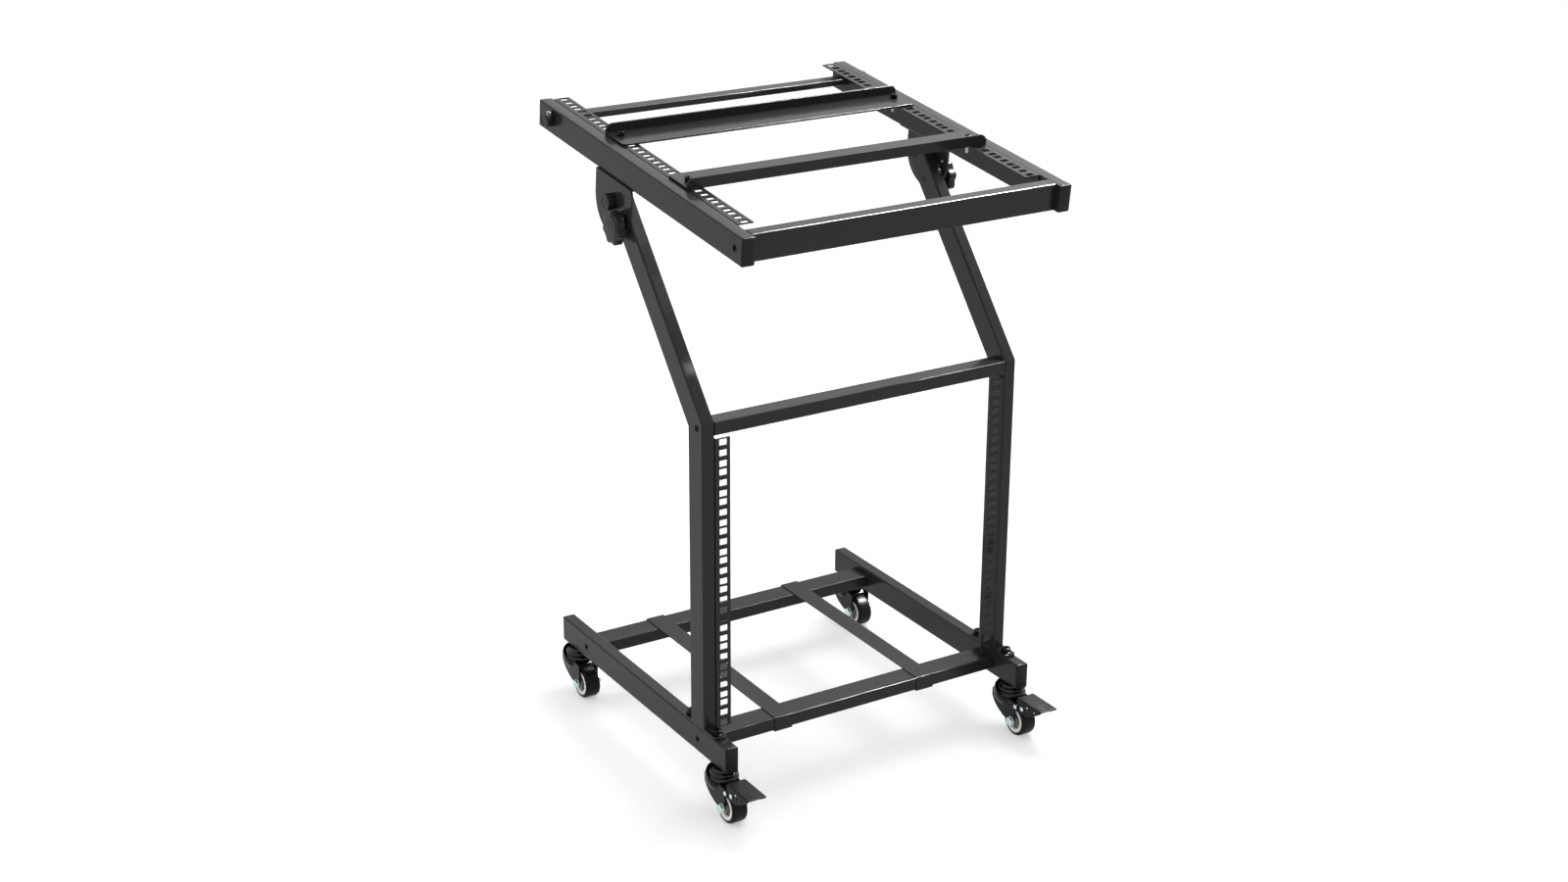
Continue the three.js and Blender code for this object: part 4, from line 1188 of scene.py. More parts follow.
@dataclass
class Knobs:
    """Hand knobs: knurled caps of pivot and rear bar, lobed clamping knobs.

    Attributes:
        caps: Kind, radius and length of the knurled caps.
        knurls: Knurls round a cap.
        knurl_points: Points of the rim to each knurl.
        knurl_depth: Depth of the knurls.
        knurl_edge: Width of the knurled part's softened rims.
        cap_facets: Facets of a cap's plain parts.
        cap_screw: Radius of a cap's screw.
        star_radius: Radius of a clamping knob over its lobes.
        star_waist: Radius between two lobes.
        star_height: Height of the knob.
        star_edge: Width of the lobes' softened rims.
        lobes: Lobes round the knob.
        lobe_points: Points of the rim to each lobe.
        neck_facets: Facets of the knob's neck.
        dish_facets: Facets of its dished top.
        star_bolt: Radius of its bolt.
        screw_facets: Facets of screws and bolts.
    """

    caps: tuple[tuple[str, float, float], ...] = (("pivot", 12.0, 12.5), ("rear", 11.5, 12.0))
    knurls: int = 30
    knurl_points: int = 6
    knurl_depth: float = 0.65
    knurl_edge: float = 0.35
    cap_facets: int = 64
    cap_screw: float = 2.9
    star_radius: float = 25.0
    star_waist: float = 21.6
    star_height: float = 20.0
    star_edge: float = 2.2
    lobes: int = 7
    lobe_points: int = 20
    neck_facets: int = 48
    dish_facets: int = 72
    star_bolt: float = 3.9
    screw_facets: int = 24

    def build(self) -> None:
        """Build the six knobs."""
        for side in Side:
            for kind, radius, length in self.caps:
                node = f"{kind}_knob_{side.word}"
                place = self._seat(node, side, node_centre(node), length)
                self._cap_knob(node, radius, length, place)
            node = f"clamp_knob_{side.word}"
            place = self._seat(node, side, joint_place(f"{node}_turn"), self.star_height)
            self._star_knob(node, place)

    @staticmethod
    def _seat(node: str, side: Side, middle: Vector, height: float) -> Matrix:
        """Find a knob's seat.

        Args:
            node: Frame node of the knob.
            side: Side of the stand.
            middle: Point on the knob's axis, in millimetres.
            height: Seat to the knob's outer face.

        Returns:
            The seat's place, along the knob's axis.
        """
        low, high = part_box(node)
        outer = (high.x if side is Side.RIGHT else low.x) / MM
        return stand_at(outer - side.sign * height, middle.y, middle.z) @ outward(side.sign)

    @staticmethod
    def _reach(node: str) -> float:
        """Return the length over a knob and its screw."""
        low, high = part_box(node)
        return (high.x - low.x) / MM

    def _cap_knob(self, node: str, radius: float, top: float, place: Matrix) -> None:
        """Build one knurled cap.

        Args:
            node: Frame node that it stands for, also its body.
            radius: Cap radius.
            top: Cap length.
            place: Place of the seat, along the screw's axis.
        """

        def knurled(angle: float) -> float:
            """Return the rim's radius at an angle."""
            return radius - self.knurl_depth * (0.5 - 0.5 * math.cos(angle * self.knurls)) ** 2

        r = radius - self.knurl_depth
        form = Form().fluted(
            knurled, self.knurls * self.knurl_points, 1.0, top - 1.6, self.knurl_edge
        )
        form.turned(
            [(0, 0), (r - 0.8, 0), (r - 0.2, 0.5), (r - 0.2, 1.2), (0, 1.2)], self.cap_facets
        )
        form.turned(
            [(0, top - 2), (r, top - 2), (r + 0.2, top - 1.2), (r - 0.3, top - 0.3), (r - 1.2, top),
             (r - 2.2, top - 0.3), (r - 3.2, top - 0.9), (r * 0.45, top - 0.5), (0, top - 0.35)],
            self.cap_facets,
        )
        form.rod(self.cap_screw, top - self._reach(node), 0.3, self.screw_facets)
        form.piece(f"{node}_knurled", KNOB, node, place, [node])

    def _star_knob(self, node: str, place: Matrix) -> None:
        """Build one lobed clamping knob.

        Args:
            node: Frame node that it stands for, also its body.
            place: Place of the seat, along the bolt's axis.
        """
        mean = (self.star_radius + self.star_waist) / 2
        swing = (self.star_radius - self.star_waist) / 2

        def lobed(angle: float) -> float:
            """Return the rim's radius at an angle."""
            return mean + swing * math.cos(self.lobes * angle)

        top = self.star_height
        form = Form().fluted(
            lobed, self.lobes * self.lobe_points, top - 15.0, top - 2.0, self.star_edge
        )
        form.turned(
            [(0, 0.2), (10.2, 0.2), (11, 0.8), (11.6, top - 14.6), (0, top - 14.6)],
            self.neck_facets,
        )
        form.turned(
            [(0, top - 3), (19.2, top - 3), (19.0, top - 1.9), (18.0, top - 0.9), (16.6, top - 0.5),
             (15.4, top - 0.75), (13.0, top - 0.7), (8.0, top - 0.2), (0, top)], self.dish_facets,
        )
        form.rod(self.star_bolt, top - self._reach(node), 0.4, self.screw_facets)
        form.piece(f"{node}_lobed", KNOB, node, place, [node])


# Casters

# Profile of a rivet's dome, in shares of its radius.
RIVET_DOME = ((0, 0), (1, 0), (1, 0.12), (0.94, 0.24), (0.74, 0.36), (0.4, 0.42), (0, 0.43))
RIVET_FACETS = 32
HEX_SECTOR = math.pi / 3


def rivet_head(radius: float) -> Form:
    """Model a rivet's domed head standing on z = 0."""
    return Form().turned([(u * radius, v * radius) for u, v in RIVET_DOME], RIVET_FACETS)


def hexagon(flat: float) -> Callable[[float], float]:
    """Return the rim radius of a hexagon.

    Args:
        flat: Axis to flat.

    Returns:
        Function from angle to radius.
    """

    def reach(angle: float) -> float:
        """Return the radius at an angle."""
        return flat / math.cos((angle % HEX_SECTOR) - HEX_SECTOR / 2)

    return reach


@dataclass
class Caster:
    """One swivel caster, built round its swivel axis with the floor at z = 0.

    Side views are given as (y, z) about the swivel axis, turned profiles as (radius, height).

    Attributes:
        place: Front or rear.
        side: Left or right.
        trail: Swivel axis to wheel axle.
        radius: Wheel radius.
        width: Wheel width.
        cheek: Swivel axis to the outer face of a fork cheek.
        sheet: Thickness of the fork's sheet.
        crown: Floor to the underside of the fork's crown.
        hood: Floor to the top of the hood.
        dome: Radius of the round part about the race.
        dome_back: Swivel axis to the middle of the round part.
        dome_line: Outer line of the round part, from its lower rim up.
        channel_front: Swivel axis to the front end of the cheeks' channel.
        channel_round: Radius of the channel's rear end.
        channel_low: Lower end of the channel.
        overrun: How far a cutting form reaches past what it cuts.
        ear: Radius of the fork's ear about the axle.
        brow: Where the crown starts to slope down to the front.
        pin: Brake pin.
        nose: Radius of the fork's nose about the brake pin.
        far: Half the length of the form that trims the fork to its side view.
        arc_steps: Facets of the channel's rear end.
        edge_steps: Facets of the ear and of the rear edge.
        fork_skin: Cell, smoothing passes and kept share of the fork's skin.
        fork_angle: Angle below which the fork's faces shade as one surface.
        stem: Profile of the stem with plate, upper race and kingpin.
        race: Profile of the lower race ring.
        axle: Radius of the axle.
        axle_seat: Cheek to the seats of the axle's hexagons.
        axle_heads: Height of the hexagons on the left and on the right.
        axle_flat: Axle to a flat of the hexagons.
        hex_edge: Width of the hexagons' softened rims.
        pin_head: Radius of the brake pin's heads.
        pin_sink: How deep those heads lie in the cheeks.
        web_sink: Wheel's side to the web of its core.
        nose_facets: Facets of the nose.
        hex_points: Points round a hexagon.
        washer_facets: Facets of washers and round heads on the axle.
        axle_facets: Facets of the axle.
        race_facets: Facets of stem and race.
        dome_facets: Facets of the round part.
        wheel_facets: Facets of tread and rims.
        core_facets: Facets of the wheel's core.
        spokes: Ribs of the core.
    """

    place: Place
    side: Side
    trail: float = 24.0
    radius: float = 25.0
    width: float = 24.6
    cheek: float = 16.7
    sheet: float = 2.2
    crown: float = 58.0
    hood: float = 74.65
    dome: float = 24.6
    dome_back: float = 4.0
    dome_line: Profile = (
        (11.0, 36.0), (14.6, 39.6), (18.0, 43.8), (20.9, 48.0), (23.0, 52.0), (24.2, 56.0),
        (24.6, 60.0), (24.6, 64.0), (24.3, 67.0), (23.6, 69.8), (22.5, 72.4), (21.1, 74.65),
    )
    channel_front: float = -64.0
    channel_round: float = 31.5
    channel_low: float = -2.0
    overrun: float = 3.0
    ear: float = 7.0
    brow: float = -9.0
    pin: tuple[float, float] = (-32.305, 52.681)
    nose: float = 5.2
    far: float = 30.0
    arc_steps: int = 16
    edge_steps: int = 12
    fork_skin: tuple[float, int, float] = (0.55, 7, 0.3)
    fork_angle: float = 60.0
    stem: Profile = (
        (0, 55.7), (6.5, 55.7), (7.8, 56.4), (7.8, 57.6), (5, 57.7), (5, 66.9), (18.8, 66.9),
        (20.0, 67.2), (20.8, 68.0), (21.0, 69.2), (20.8, 70.3), (20.2, 71.2), (19.2, 71.9),
        (17.6, 72.3), (16.0, 72.5), (15.2, 73.2), (15.0, 74.4), (15.0, 76.1), (5, 76.1), (5, 88),
        (0, 88),
    )
    race: Profile = (
        (5.4, 60.0), (20.6, 60.0), (21.5, 60.3), (22, 61.1), (22, 62.6), (21.7, 63.7),
        (21.0, 64.6), (20.1, 65.2), (19.6, 65.7), (18.9, 66.15), (17.5, 66.3), (5.4, 66.3),
        (5.4, 60.0),
    )
    axle: float = 3.0
    axle_seat: float = 0.35
    axle_heads: tuple[float, float] = (5.0, 5.5)
    axle_flat: float = 6.1
    hex_edge: float = 0.5
    pin_head: float = 3.5
    pin_sink: float = 0.1
    web_sink: float = 4.5
    nose_facets: int = 40
    hex_points: int = 48
    washer_facets: int = 32
    axle_facets: int = 24
    race_facets: int = 72
    dome_facets: int = 96
    wheel_facets: int = 80
    core_facets: int = 48
    spokes: int = 6

    @property
    def tag(self) -> str:
        """Ending of this caster's node names."""
        return f"{self.place.value}_{self.side.word}"

    @property
    def braked(self) -> bool:
        """Whether this caster has a brake pedal."""
        return self.place is Place.FRONT

    def build(self) -> None:
        """Build all pieces of the caster."""
        tag = self.tag
        axis = joint_place(f"caster_{tag}_swivel")
        here = stand_at(axis.x, axis.y, 0)
        swivel, wheel = f"caster_{tag}", f"wheel_{tag}"
        stem = Form().turned(self.stem, self.race_facets)
        stem.piece(f"caster_stem_{tag}_turned", ENAMEL, "frame", here, [f"caster_stem_{tag}"])
        self._fork().piece(
            f"caster_fork_{tag}_pressed", FORK, swivel, here, [f"caster_fork_{tag}"],
            self.fork_angle,
        )
        race = Form().turned(self.race, self.race_facets)
        race.piece(f"lower_race_{tag}", ENAMEL, swivel, here)
        self._axle(here, swivel)
        hub = here @ stand_at(0, -self.trail, self.radius) @ Axis.X.value
        self._tread().piece(f"tread_{tag}", TREAD, wheel, hub, [f"caster_wheel_{tag}"])
        self._rims().piece(f"rims_{tag}", RIM, wheel, hub)
        self._core().piece(f"core_{tag}", HUB, wheel, hub)
        if self.braked:
            BrakePedal(self.side, self.pin).build(here)

    def _skin(self, inset: float) -> Form:
        """Model the fork's outer form, drawn in by an inset.

        Args:
            inset: Distance inside the outer skin.

        Returns:
            Two cheeks' channel and the round part about the race, as one closed form.
        """
        side, bend = self.cheek - inset, self.channel_round - inset
        start = math.asin(side / bend)
        rear = [
            (bend * math.sin(a), bend * math.cos(a), 0.0)
            for a in (start - 2 * start * n / self.arc_steps for n in range(self.arc_steps + 1))
        ]
        front = self.channel_front
        channel = Form().plate(
            [(-side, front, 0), (side, front, 0), *rear], self.channel_low - inset,
            self.crown + self.sheet,
        )
        line = [(r - inset, z) for r, z in self.dome_line]
        if inset:
            line.append((line[-1][0], self.hood + self.overrun))
        profile = [(0.0, line[0][1]), *line, (0.0, line[-1][1])]
        dome = Form().turned(profile, self.dome_facets, at(0, self.dome_back, 0))
        return channel.carved(dome, Carve.ADD)

    def _side_view(self) -> Outline:
        """Draw the fork's side view.

        Returns:
            Outline of ear, full rear edge, hood with sloping rim, and brow.
        """
        rear, steps = self.dome_back + self.dome, self.edge_steps
        ear = [
            (-self.trail + self.ear * math.cos(a), self.radius + self.ear * math.sin(a), 0.0)
            for a in (math.pi * (1 + 0.75 * n / steps) for n in range(steps + 1))
        ]
        start, bend, end = Vector(ear[-1][:2]), Vector((rear - 6.6, 29.0)), Vector((rear, 53.0))
        edge = []
        for t in (n / steps for n in range(1, steps + 1)):
            spot = start * (1 - t) ** 2 + bend * 2 * t * (1 - t) + end * t * t
            edge.append((spot.x, spot.y, 0.0))
        past = rear + self.overrun
        return [
            (-31.0, 57.5, 1.5), *ear, *edge, (past, self.crown, 0.0), (past, self.hood, 0.0),
            (rear - 5.4, self.hood, 2.0), (self.brow, self.crown + self.sheet, 4.0),
        ]

    def _fork(self) -> Form:
        """Model the pressed fork.

        Returns:
            Cheeks, sloping crown and the hood round the race, as one skin.
        """
        crown, top, brow, far = self.crown, self.crown + self.sheet, self.brow, self.far
        form = self._skin(0).carved(
            Form().plate(self._side_view(), -far, far, placing=SIDE_VIEW), Carve.TRIM
        )
        far -= 1.0  # So that no face of the room lies on one of the trimming form
        room = Form().plate(
            [(-66, -6, 0), (34, -6, 0), (34, crown, 0), (brow, crown, 3), (-21.5, 51.0, 0),
             (-21.5, 53.2, 0), (brow, top, 3), (34, top, 0), (34, 80, 0), (-66, 80, 0)],
            -far, far, placing=SIDE_VIEW,
        )
        form.carved(self._skin(self.sheet).carved(room, Carve.TRIM), Carve.REMOVE)
        if self.braked:
            spot = at(0, *self.pin) @ Axis.X.value
            for sign in SIGNS:
                low, high = sorted((sign * (self.cheek - self.sheet), sign * self.cheek))
                form.rod(self.nose, low, high, self.nose_facets, spot)
        return form.recast(*self.fork_skin)

    def _axle(self, here: Matrix, swivel: str) -> None:
        """Build the zinc axle with head and nut, and the heads of the brake pin.

        Args:
            here: Place of the swivel axis on the floor.
            swivel: Body of the fork.
        """
        form = Form()
        seat = self.cheek + self.axle_seat
        for sign, height in zip(SIGNS, self.axle_heads):
            spot = at(sign * seat, 0, 0) @ outward(sign)
            form.fluted(hexagon(self.axle_flat), self.hex_points, 0.0, height, self.hex_edge, spot)
            form.turned(
                [(0, 0), (7.0, 0), (7.0, 0.5), (6.4, 0.9), (0, 0.9)], self.washer_facets,
                at(sign * self.cheek, 0, 0) @ outward(sign),
            )
            form.turned(
                [(0, height - 0.4), (5.3, height - 0.4), (4.9, height), (4.2, height + 0.2),
                 (0, height + 0.25)], self.washer_facets, spot,
            )
        form.rod(self.axle, -seat, seat, self.axle_facets, Axis.X.value)
        hub = here @ stand_at(0, -self.trail, self.radius)
        form.piece(f"caster_axle_{self.tag}_hex", ZINC, swivel, hub, [f"caster_axle_{self.tag}"])
        if self.braked:
            pins = Form()
            seat = self.cheek - self.pin_sink
            for sign in SIGNS:
                pins.join(rivet_head(self.pin_head), at(sign * seat, *self.pin) @ outward(sign))
            pins.piece(f"brake_pin_{self.side.word}", ZINC, swivel, here)

    def _tread(self) -> Form:
        """Model the tread.

        Returns:
            The tread along its axle.
        """
        half, r = self.width / 2, self.radius
        right = [
            (19.2, half - 0.6), (20.4, half - 0.15), (21.9, half - 0.1), (23.2, half - 0.6),
            (24.2, half - 1.5), (24.75, half - 2.7), (r, half - 4.2),
        ]
        left = [(u, -v) for u, v in reversed(right)]
        return Form().turned([*right, (r, 3.0), (r, -3.0), *left, right[0]], self.wheel_facets)

    def _rims(self) -> Form:
        """Model the bright rims.

        Returns:
            The two rings along the axle.
        """
        half = self.width / 2
        ring = [
            (19.5, half - 2.0), (19.4, half - 0.2), (18.9, half), (17.0, half - 0.1),
            (16.7, half - 0.5), (16.4, half - 0.5), (16.1, half - 0.25), (14.9, half - 0.35),
            (14.4, half - 0.9), (14.1, half - 2.5), (14.0, half - 6.0), (19.5, half - 6.0),
            (19.5, half - 2.0),
        ]
        form = Form()
        for sign in SIGNS:
            form.turned([(u, sign * v) for u, v in ring], self.wheel_facets)
        return form

    def _core(self) -> Form:
        """Model the wheel's core.

        Returns:
            The recessed core with its boss and ribs.
        """
        half = self.width / 2
        web = half - self.web_sink
        right = [
            (3.4, half), (6.0, half), (6.6, half - 0.5), (7.0, web + 0.4), (8.0, web), (19.0, web),
        ]
        left = [(u, -v) for u, v in reversed(right)]
        form = Form().turned([*right, *left, right[0]], self.core_facets)
        for turn in range(self.spokes):
            spoke = Matrix.Rotation(turn * math.tau / self.spokes, 4, "Z")
            for low in (-web - 2.2, web - 0.4):
                form.block((6.0, -0.7, low), (14.4, 0.7, low + 2.6), 0.25, spoke)
        return form


@dataclass
class BrakePedal:
    """Brake pedal of a front caster, drawn about the caster's swivel axis.

    Attributes:
        side: Left or right.
        pin: Brake pin, as (y, z).
        top: Floor to the top of the pedal's plate.
        half: Half the width of the pedal.
        wall: Thickness of its side skirts.
        plate: Thickness of its plate.
        bend: Outer radius of its bends.
        inner_bend: Inner radius of its bends.
        skirt_low: Floor to where the skirts are drawn from.
        ends: Rear and front end of the channel, as lengths ahead of the axis.
        plan_span: Floor to the ends of the form that trims the channel to its plan.
        skirt: Side view of the skirts, as (y, z, corner radius).
        slot: Slot in the skirts, the same way.
        hole: Second rivet's hole, as (y, z).
        hole_radius: Radius of that hole.
        hole_facets: Facets of that hole.
        lobe: Inner and outer face of a lobe about the brake pin.
        lobe_foot: Outer face of the lobe's foot, which joins it to the skirt.
        lobe_reach: Brake pin to the front end of a lobe.
        shoe: Brake shoe, as lowest and highest corner.
        shoe_edge: Width of the shoe's softened edges.
        skin: Cell, smoothing passes and kept share of the pedal's skin.
        angle: Angle below which the pedal's faces shade as one surface.
        ridges: Places of the ridges on the plate.
        barbs: Places of the small barbs.
        rivet: Large rivet and its washer, as (y, z) from the brake pin.
        rivet_radius: Radius of the large rivet.
        rivet_seat: Middle of the pedal to the large rivet's seat.
        small_rivet: Small rivet, as (y, z).
        small_radius: Radius of the small rivet.
        small_seat: Middle of the pedal to the small rivet's seat.
        washer_seat: Middle of the pedal to the washer's seat.
        washer_facets: Facets of the washer.
        far: Half the length of a form that cuts across the pedal.
    """

    side: Side
    pin: tuple[float, float]
    top: float = 69.08
    half: float = 16.0
    wall: float = 1.6
    plate: float = 1.8
    bend: float = 2.6
    inner_bend: float = 1.2
    skirt_low: float = 38.0
    ends: tuple[float, float] = (35.0, 94.0)
    plan_span: tuple[float, float] = (30.0, 80.0)
    skirt: Outline = (
        (-35.0, 72.0, 0), (-35.0, 66.0, 1.0), (-39.1, 57.7, 3.0), (-39.1, 47.7, 3.0),
        (-59.7, 46.6, 1.2), (-79.0, 56.6, 8.0), (-92.6, 65.6, 3.0), (-94.4, 68.0, 0),
        (-94.4, 72.0, 0),
    )
    slot: Outline = ((-61.3, 40.0, 0), (-61.3, 61.2, 0.7), (-62.9, 61.2, 0.7), (-62.9, 40.0, 0))
    hole: tuple[float, float] = (-77.0, 61.4)
    hole_radius: float = 1.7
    hole_facets: int = 20
    lobe: tuple[float, float] = (12.65, 14.15)
    lobe_foot: float = 15.9
    lobe_reach: float = 8.8
    shoe: tuple[Point, Point] = ((-14.1, -46.16, 44.7), (14.1, -43.7, 67.6))
    shoe_edge: float = 0.6
    skin: tuple[float, int, float] = (0.4, 3, 0.3)
    angle: float = 50.0
    ridges: tuple[float, ...] = (-73.5, -79.5, -85.5)
    barbs: tuple[float, ...] = (-74.5, -83.0)
    rivet: tuple[float, float] = (-16.0, 2.9)
    rivet_radius: float = 3.6
    rivet_seat: float = 16.35
    small_rivet: tuple[float, float] = (-60.6, 62.6)
    small_radius: float = 1.5
    small_seat: float = 15.95
    washer_seat: float = 15.9
    washer_facets: int = 36
    far: float = 20.0

    def build(self, here: Matrix) -> None:
        """Build the pedal with its rivets and washers.

        Args:
            here: Place of the swivel axis on the floor.
        """
        node = f"brake_pedal_{self.side.word}"
        form = self._channel()
        self._add_lobes(form)
        form.block(*self.shoe, self.shoe_edge)
        form.recast(*self.skin)
        self._add_grip(form)
        form.piece(f"{node}_pressed", PEDAL, node, here, [node], self.angle)
        self._rivets(node, here)

    def _channel(self) -> Form:
        """Model the pedal's pressed channel.

        Returns:
            Plate with rounded corners and two side skirts.
        """
        top, half, foot = self.top, self.half, self.skirt_low
        side, under, inner = half - self.wall, top - self.plate, self.inner_bend
        section = [
            (-half, foot, 0), (-half, top, self.bend), (half, top, self.bend), (half, foot, 0),
            (side, foot, 0), (side, under, inner), (-side, under, inner), (-side, foot, 0),
        ]
        channel = Form().plate(section, *self.ends, placing=Axis.MINUS_Y.value)
        far = self.far
        channel.carved(Form().plate(self.skirt, -far, far, placing=SIDE_VIEW), Carve.TRIM)
        plan = [
            (-half - 1, -34, 0), (-half - 1, -88.0, 0), (-half, -94.0, 4.6), (half, -94.0, 4.6),
            (half + 1, -88.0, 0), (half + 1, -34, 0),
        ]
        channel.carved(Form().plate(plan, *self.plan_span), Carve.TRIM)
        channel.carved(Form().plate(self.slot, -far, far, placing=SIDE_VIEW), Carve.REMOVE)
        spot = at(0, *self.hole) @ Axis.X.value
        hole = Form().rod(self.hole_radius, -far, far, self.hole_facets, spot)
        return channel.carved(hole, Carve.REMOVE)

    def _add_lobes(self, form: Form) -> None:
        """Add the two lobes that turn on the brake pin.

        Args:
            form: Pedal's form.
        """
        y, z = self.pin
        front = y - self.lobe_reach
        outline = [
            (front, z - 5.0, 0), (y, z - 5.0, 0), (y + 3.5, z - 3.5, 0), (y + 5.0, z, 0),
            (y + 3.5, z + 3.5, 0), (y, z + 5.0, 0), (front, z + 5.0, 0),
        ]
        for sign in SIGNS:
            low, high = sorted(sign * face for face in self.lobe)
            form.plate(outline, low, high, 0.2, SIDE_VIEW)
            low, high = sorted((sign * self.lobe[0], sign * self.lobe_foot))
            form.block((low, front, z - 4.9), (high, y - 6.9, z + 4.9), 0.3)

    def _add_grip(self, form: Form) -> None:
        """Add the ridges and small barbs on the plate.

        Args:
            form: Pedal's form.
        """
        for y in self.ridges:
            form.block((-9.0, y - 0.7, 68.6), (12.0, y + 0.7, 69.5), 0.35)
        for y in self.barbs:
            form.plate(
                [(-12.2, y - 1.6, 0.2), (-8.8, y - 0.4, 0.2), (-11.2, y + 1.8, 0.2)],
                68.7, 69.6, 0.25,
            )

    def _rivets(self, node: str, here: Matrix) -> None:
        """Build the rivets and washers on the skirts.

        Args:
            node: Frame node of the pedal, also its body.
            here: Place of the swivel axis on the floor.
        """
        rivets, washers = Form(), Form()
        spot = at(0, *(pin + step for pin, step in zip(self.pin, self.rivet)))
        for sign in SIGNS:
            axis = outward(sign)
            rivets.join(
                rivet_head(self.rivet_radius), at(sign * self.rivet_seat, 0, 0) @ spot @ axis
            )
            rivets.join(
                rivet_head(self.small_radius), at(sign * self.small_seat, *self.small_rivet) @ axis
            )
            washers.turned(
                [(0, 0), (6.3, 0), (6.3, 0.3), (5.8, 0.55), (0, 0.55)], self.washer_facets,
                at(sign * self.washer_seat, 0, 0) @ spot @ axis,
            )
        rivets.piece(f"pedal_rivets_{self.side.word}", ZINC, node, here)
        washers.piece(f"pedal_washers_{self.side.word}", BLACKED, node, here)


# Studio

RANGE_SOCKETS = ("From Min", "From Max", "To Min", "To Max")
WHITE = (1, 1, 1, 1)


class Gives(Enum):
    """Part of the light that a lamp gives."""

    ALL = "all"
    GLOSS = "gloss"
    MATT = "matt"


@dataclass(frozen=True)
class Lamp:
    """Soft rectangular lamp.

    Attributes:
        name: Lamp name.
        spot: Place in metres.
        aim: Point that it looks at, in metres.
        size: Width and height in metres.
        power: Power in watts.
        gives: Part of the light that it gives.
    """

    name: str
    spot: Point
    aim: Point
    size: tuple[float, float]
    power: float
    gives: Gives = Gives.ALL

    def hang(self) -> None:
        """Hang the lamp in the scene."""
        data = bpy.data.lights.new(self.name, "AREA")
        data.shape = "RECTANGLE"
        data.size, data.size_y = self.size
        data.energy = self.power
        lamp = bpy.data.objects.new(self.name, data)
        bpy.context.scene.collection.objects.link(lamp)
        lamp.location = self.spot
        lamp.rotation_mode = "QUATERNION"
        lamp.rotation_quaternion = (Vector(self.aim) - Vector(self.spot)).to_track_quat("-Z", "Y")
        lamp.visible_diffuse = self.gives is not Gives.GLOSS
        lamp.visible_glossy = self.gives is not Gives.MATT


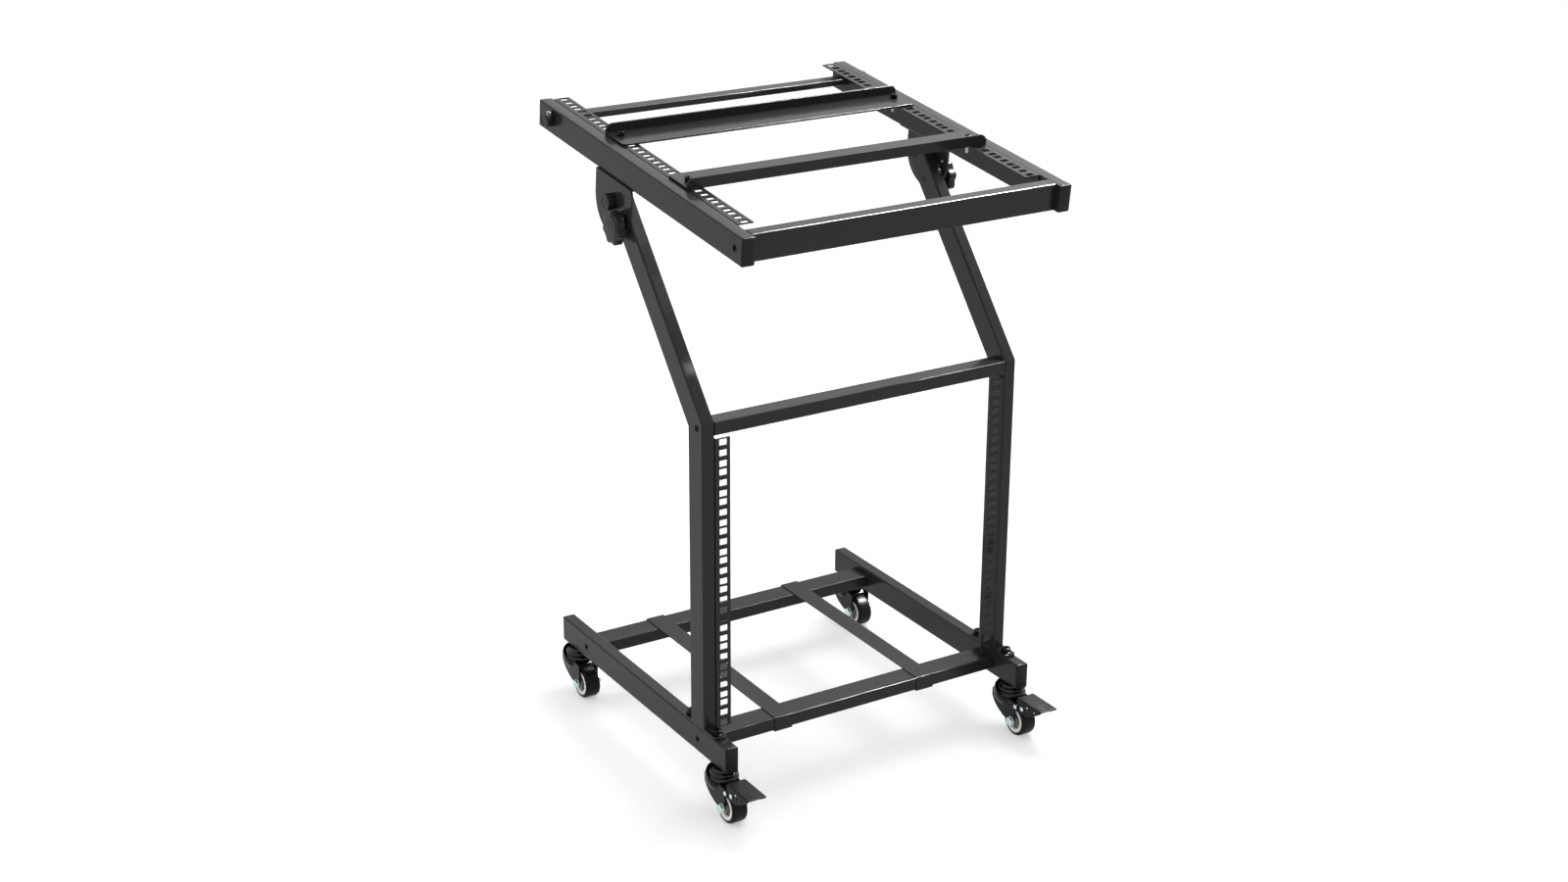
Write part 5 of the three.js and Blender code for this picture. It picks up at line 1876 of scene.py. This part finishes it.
@dataclass
class Studio:
    """Pale floor, soft light and the camera.

    Attributes:
        azimuth: Camera's direction about Z, from the front.
        elevation: Camera's height above the horizon.
        roll: Camera's roll.
        lens: Focal length.
        sensor: Sensor width.
        clip: Nearest and farthest distance that the camera sees, in metres.
        eye: Camera's place.
        floor_size: Half the floor's width, in metres.
        floor_grey: Grey of the floor.
        floor_roughness: Roughness of the floor.
        glow: Floor's own light: distances in metres where it rises, and its strengths there.
        sky: World's light: shares of X in the direction, and the strengths there.
        lamps: Lamps.
    """

    azimuth: float = -31.73
    elevation: float = 21.22
    roll: float = 0.34
    lens: float = 54.43
    sensor: float = 36.0
    clip: tuple[float, float] = (0.05, 60.0)
    eye: Point = (-1757.35, -2797.92, 1736.42)
    floor_size: float = 30.0
    floor_grey: float = 0.8
    floor_roughness: float = 0.9
    glow: tuple[float, float, float, float] = (0.35, 1.9, 0.38, 0.46)
    sky: tuple[float, float, float, float] = (-0.5, 0.25, 0.6, 0.8)
    lamps: tuple[Lamp, ...] = (
        Lamp("key_softbox", (1.7, 0.5, 3.2), (0.0, 0.0, 0.5), (2.0, 2.0), 48.0),
        Lamp("back_softbox", (1.9, 2.6, 2.6), (0.0, 0.0, 0.6), (2.0, 1.6), 7.0, Gives.GLOSS),
        Lamp("left_panel", (-3.4, 0.0, 1.3), (0.0, 0.0, 0.4), (2.0, 2.2), 20.0, Gives.MATT),
        Lamp("edge_panel", (1.75, 0.4, 3.3), (0.0, 0.0, 0.4), (0.8, 0.8), 1300.0, Gives.GLOSS),
    )

    def build(self) -> None:
        """Build camera, floor, lamps and world."""
        self._camera()
        self._floor()
        for lamp in self.lamps:
            lamp.hang()
        self._world()
        bpy.context.scene.view_settings.view_transform = "Standard"

    def _camera(self) -> None:
        """Place the camera where the photograph was taken."""
        a, e, r = (math.radians(v) for v in (self.azimuth, self.elevation, self.roll))
        back = Vector((math.sin(a) * math.cos(e), -math.cos(a) * math.cos(e), math.sin(e)))
        right = Vector((math.cos(a), math.sin(a), 0))
        up = back.cross(right)
        turned_right = right * math.cos(r) + up * math.sin(r)
        turned_up = up * math.cos(r) - right * math.sin(r)
        data = bpy.data.cameras.new("camera")
        data.lens = self.lens
        data.sensor_width = self.sensor
        data.clip_start, data.clip_end = self.clip
        camera = bpy.data.objects.new("camera", data)
        bpy.context.scene.collection.objects.link(camera)
        turn = Matrix((turned_right, turned_up, back)).transposed().to_4x4()
        camera.matrix_world = Matrix.Translation(Vector(self.eye) * MM) @ turn
        bpy.context.scene.camera = camera

    def _floor(self) -> None:
        """Lay the pale floor, white to the camera but for the stand's soft shadow."""
        ground = bmesh.new()
        bmesh.ops.create_grid(ground, x_segments=1, y_segments=1, size=self.floor_size)
        mesh = bpy.data.meshes.new("floor")
        ground.to_mesh(mesh)
        ground.free()
        floor = bpy.data.objects.new("floor", mesh)
        bpy.context.scene.collection.objects.link(floor)
        made = bpy.data.materials.new("pale_floor")
        made.use_nodes = True
        tree = made.node_tree
        nodes, links = tree.nodes, tree.links
        shader = nodes["Principled BSDF"]
        grey = self.floor_grey
        fill_sockets(shader, {
            "Base Color": (grey, grey, grey, 1), "Roughness": self.floor_roughness,
            "Specular IOR Level": 0.0,
        })
        place = nodes.new("ShaderNodeTexCoord")
        reach = nodes.new("ShaderNodeVectorMath")
        reach.operation = "LENGTH"
        links.new(place.outputs["Object"], reach.inputs[0])
        rise = self._ramp(tree, reach.outputs["Value"], self.glow)
        rise.interpolation_type = "SMOOTHSTEP"
        glow = nodes.new("ShaderNodeEmission")
        fill_sockets(glow, {"Color": WHITE})
        links.new(rise.outputs["Result"], glow.inputs["Strength"])
        dark = nodes.new("ShaderNodeEmission")
        fill_sockets(dark, {"Strength": 0.0})
        gate = self._gate(tree, dark.outputs["Emission"], glow.outputs["Emission"])
        total = nodes.new("ShaderNodeAddShader")
        links.new(shader.outputs["BSDF"], total.inputs[0])
        links.new(gate, total.inputs[1])
        links.new(total.outputs["Shader"], nodes["Material Output"].inputs["Surface"])
        mesh.materials.append(made)

    def _world(self) -> None:
        """Light the room softly, brighter to the right, and show white to the camera."""
        world = bpy.data.worlds.new("studio")
        bpy.context.scene.world = world
        world.use_nodes = True
        tree = world.node_tree
        nodes, links = tree.nodes, tree.links
        lit = nodes["Background"]
        fill_sockets(lit, {"Color": WHITE})
        place = nodes.new("ShaderNodeTexCoord")
        split = nodes.new("ShaderNodeSeparateXYZ")
        links.new(place.outputs["Generated"], split.inputs["Vector"])
        rise = self._ramp(tree, split.outputs["X"], self.sky)
        links.new(rise.outputs["Result"], lit.inputs["Strength"])
        white = nodes.new("ShaderNodeBackground")
        fill_sockets(white, {"Color": WHITE, "Strength": 1.0})
        gate = self._gate(tree, lit.outputs["Background"], white.outputs["Background"])
        links.new(gate, nodes["World Output"].inputs["Surface"])

    @staticmethod
    def _ramp(
        tree: bpy.types.NodeTree, value: bpy.types.NodeSocket, limits: Sequence[float]
    ) -> bpy.types.Node:
        """Add a node that maps a value from one range to another.

        Args:
            tree: Node tree.
            value: Socket that gives the value.
            limits: Ends of the first range and of the second.

        Returns:
            The node.
        """
        rise = tree.nodes.new("ShaderNodeMapRange")
        fill_sockets(rise, dict(zip(RANGE_SOCKETS, limits)))
        tree.links.new(value, rise.inputs["Value"])
        return rise

    @staticmethod
    def _gate(
        tree: bpy.types.NodeTree, lit: bpy.types.NodeSocket, shown: bpy.types.NodeSocket
    ) -> bpy.types.NodeSocket:
        """Let rays from the camera, off gloss and through glass meet another shader.

        Args:
            tree: Node tree of the floor or the world.
            lit: Shader for the rays that light the stand.
            shown: Shader for the rays that show floor or background.

        Returns:
            Socket of the gated shader.
        """
        path = tree.nodes.new("ShaderNodeLightPath")
        seen = path.outputs["Is Camera Ray"]
        for word in ("Is Glossy Ray", "Is Transmission Ray"):
            either = tree.nodes.new("ShaderNodeMath")
            either.operation = "MAXIMUM"
            tree.links.new(seen, either.inputs[0])
            tree.links.new(path.outputs[word], either.inputs[1])
            seen = either.outputs["Value"]
        gate = tree.nodes.new("ShaderNodeMixShader")
        tree.links.new(seen, gate.inputs["Fac"])
        tree.links.new(lit, gate.inputs[1])
        tree.links.new(shown, gate.inputs[2])
        return gate.outputs["Shader"]


def main() -> None:
    """Build the stand's pieces in order."""
    logging.basicConfig(level=logging.INFO, format="%(name)s: %(message)s")
    for assembly in (Studio(), CoatedSteel(), Straps(), EndCaps(), Fasteners(), Knobs()):
        assembly.build()
    for place in Place:
        for side in Side:
            Caster(place, side).build()


if __name__ == "__main__":
    main()
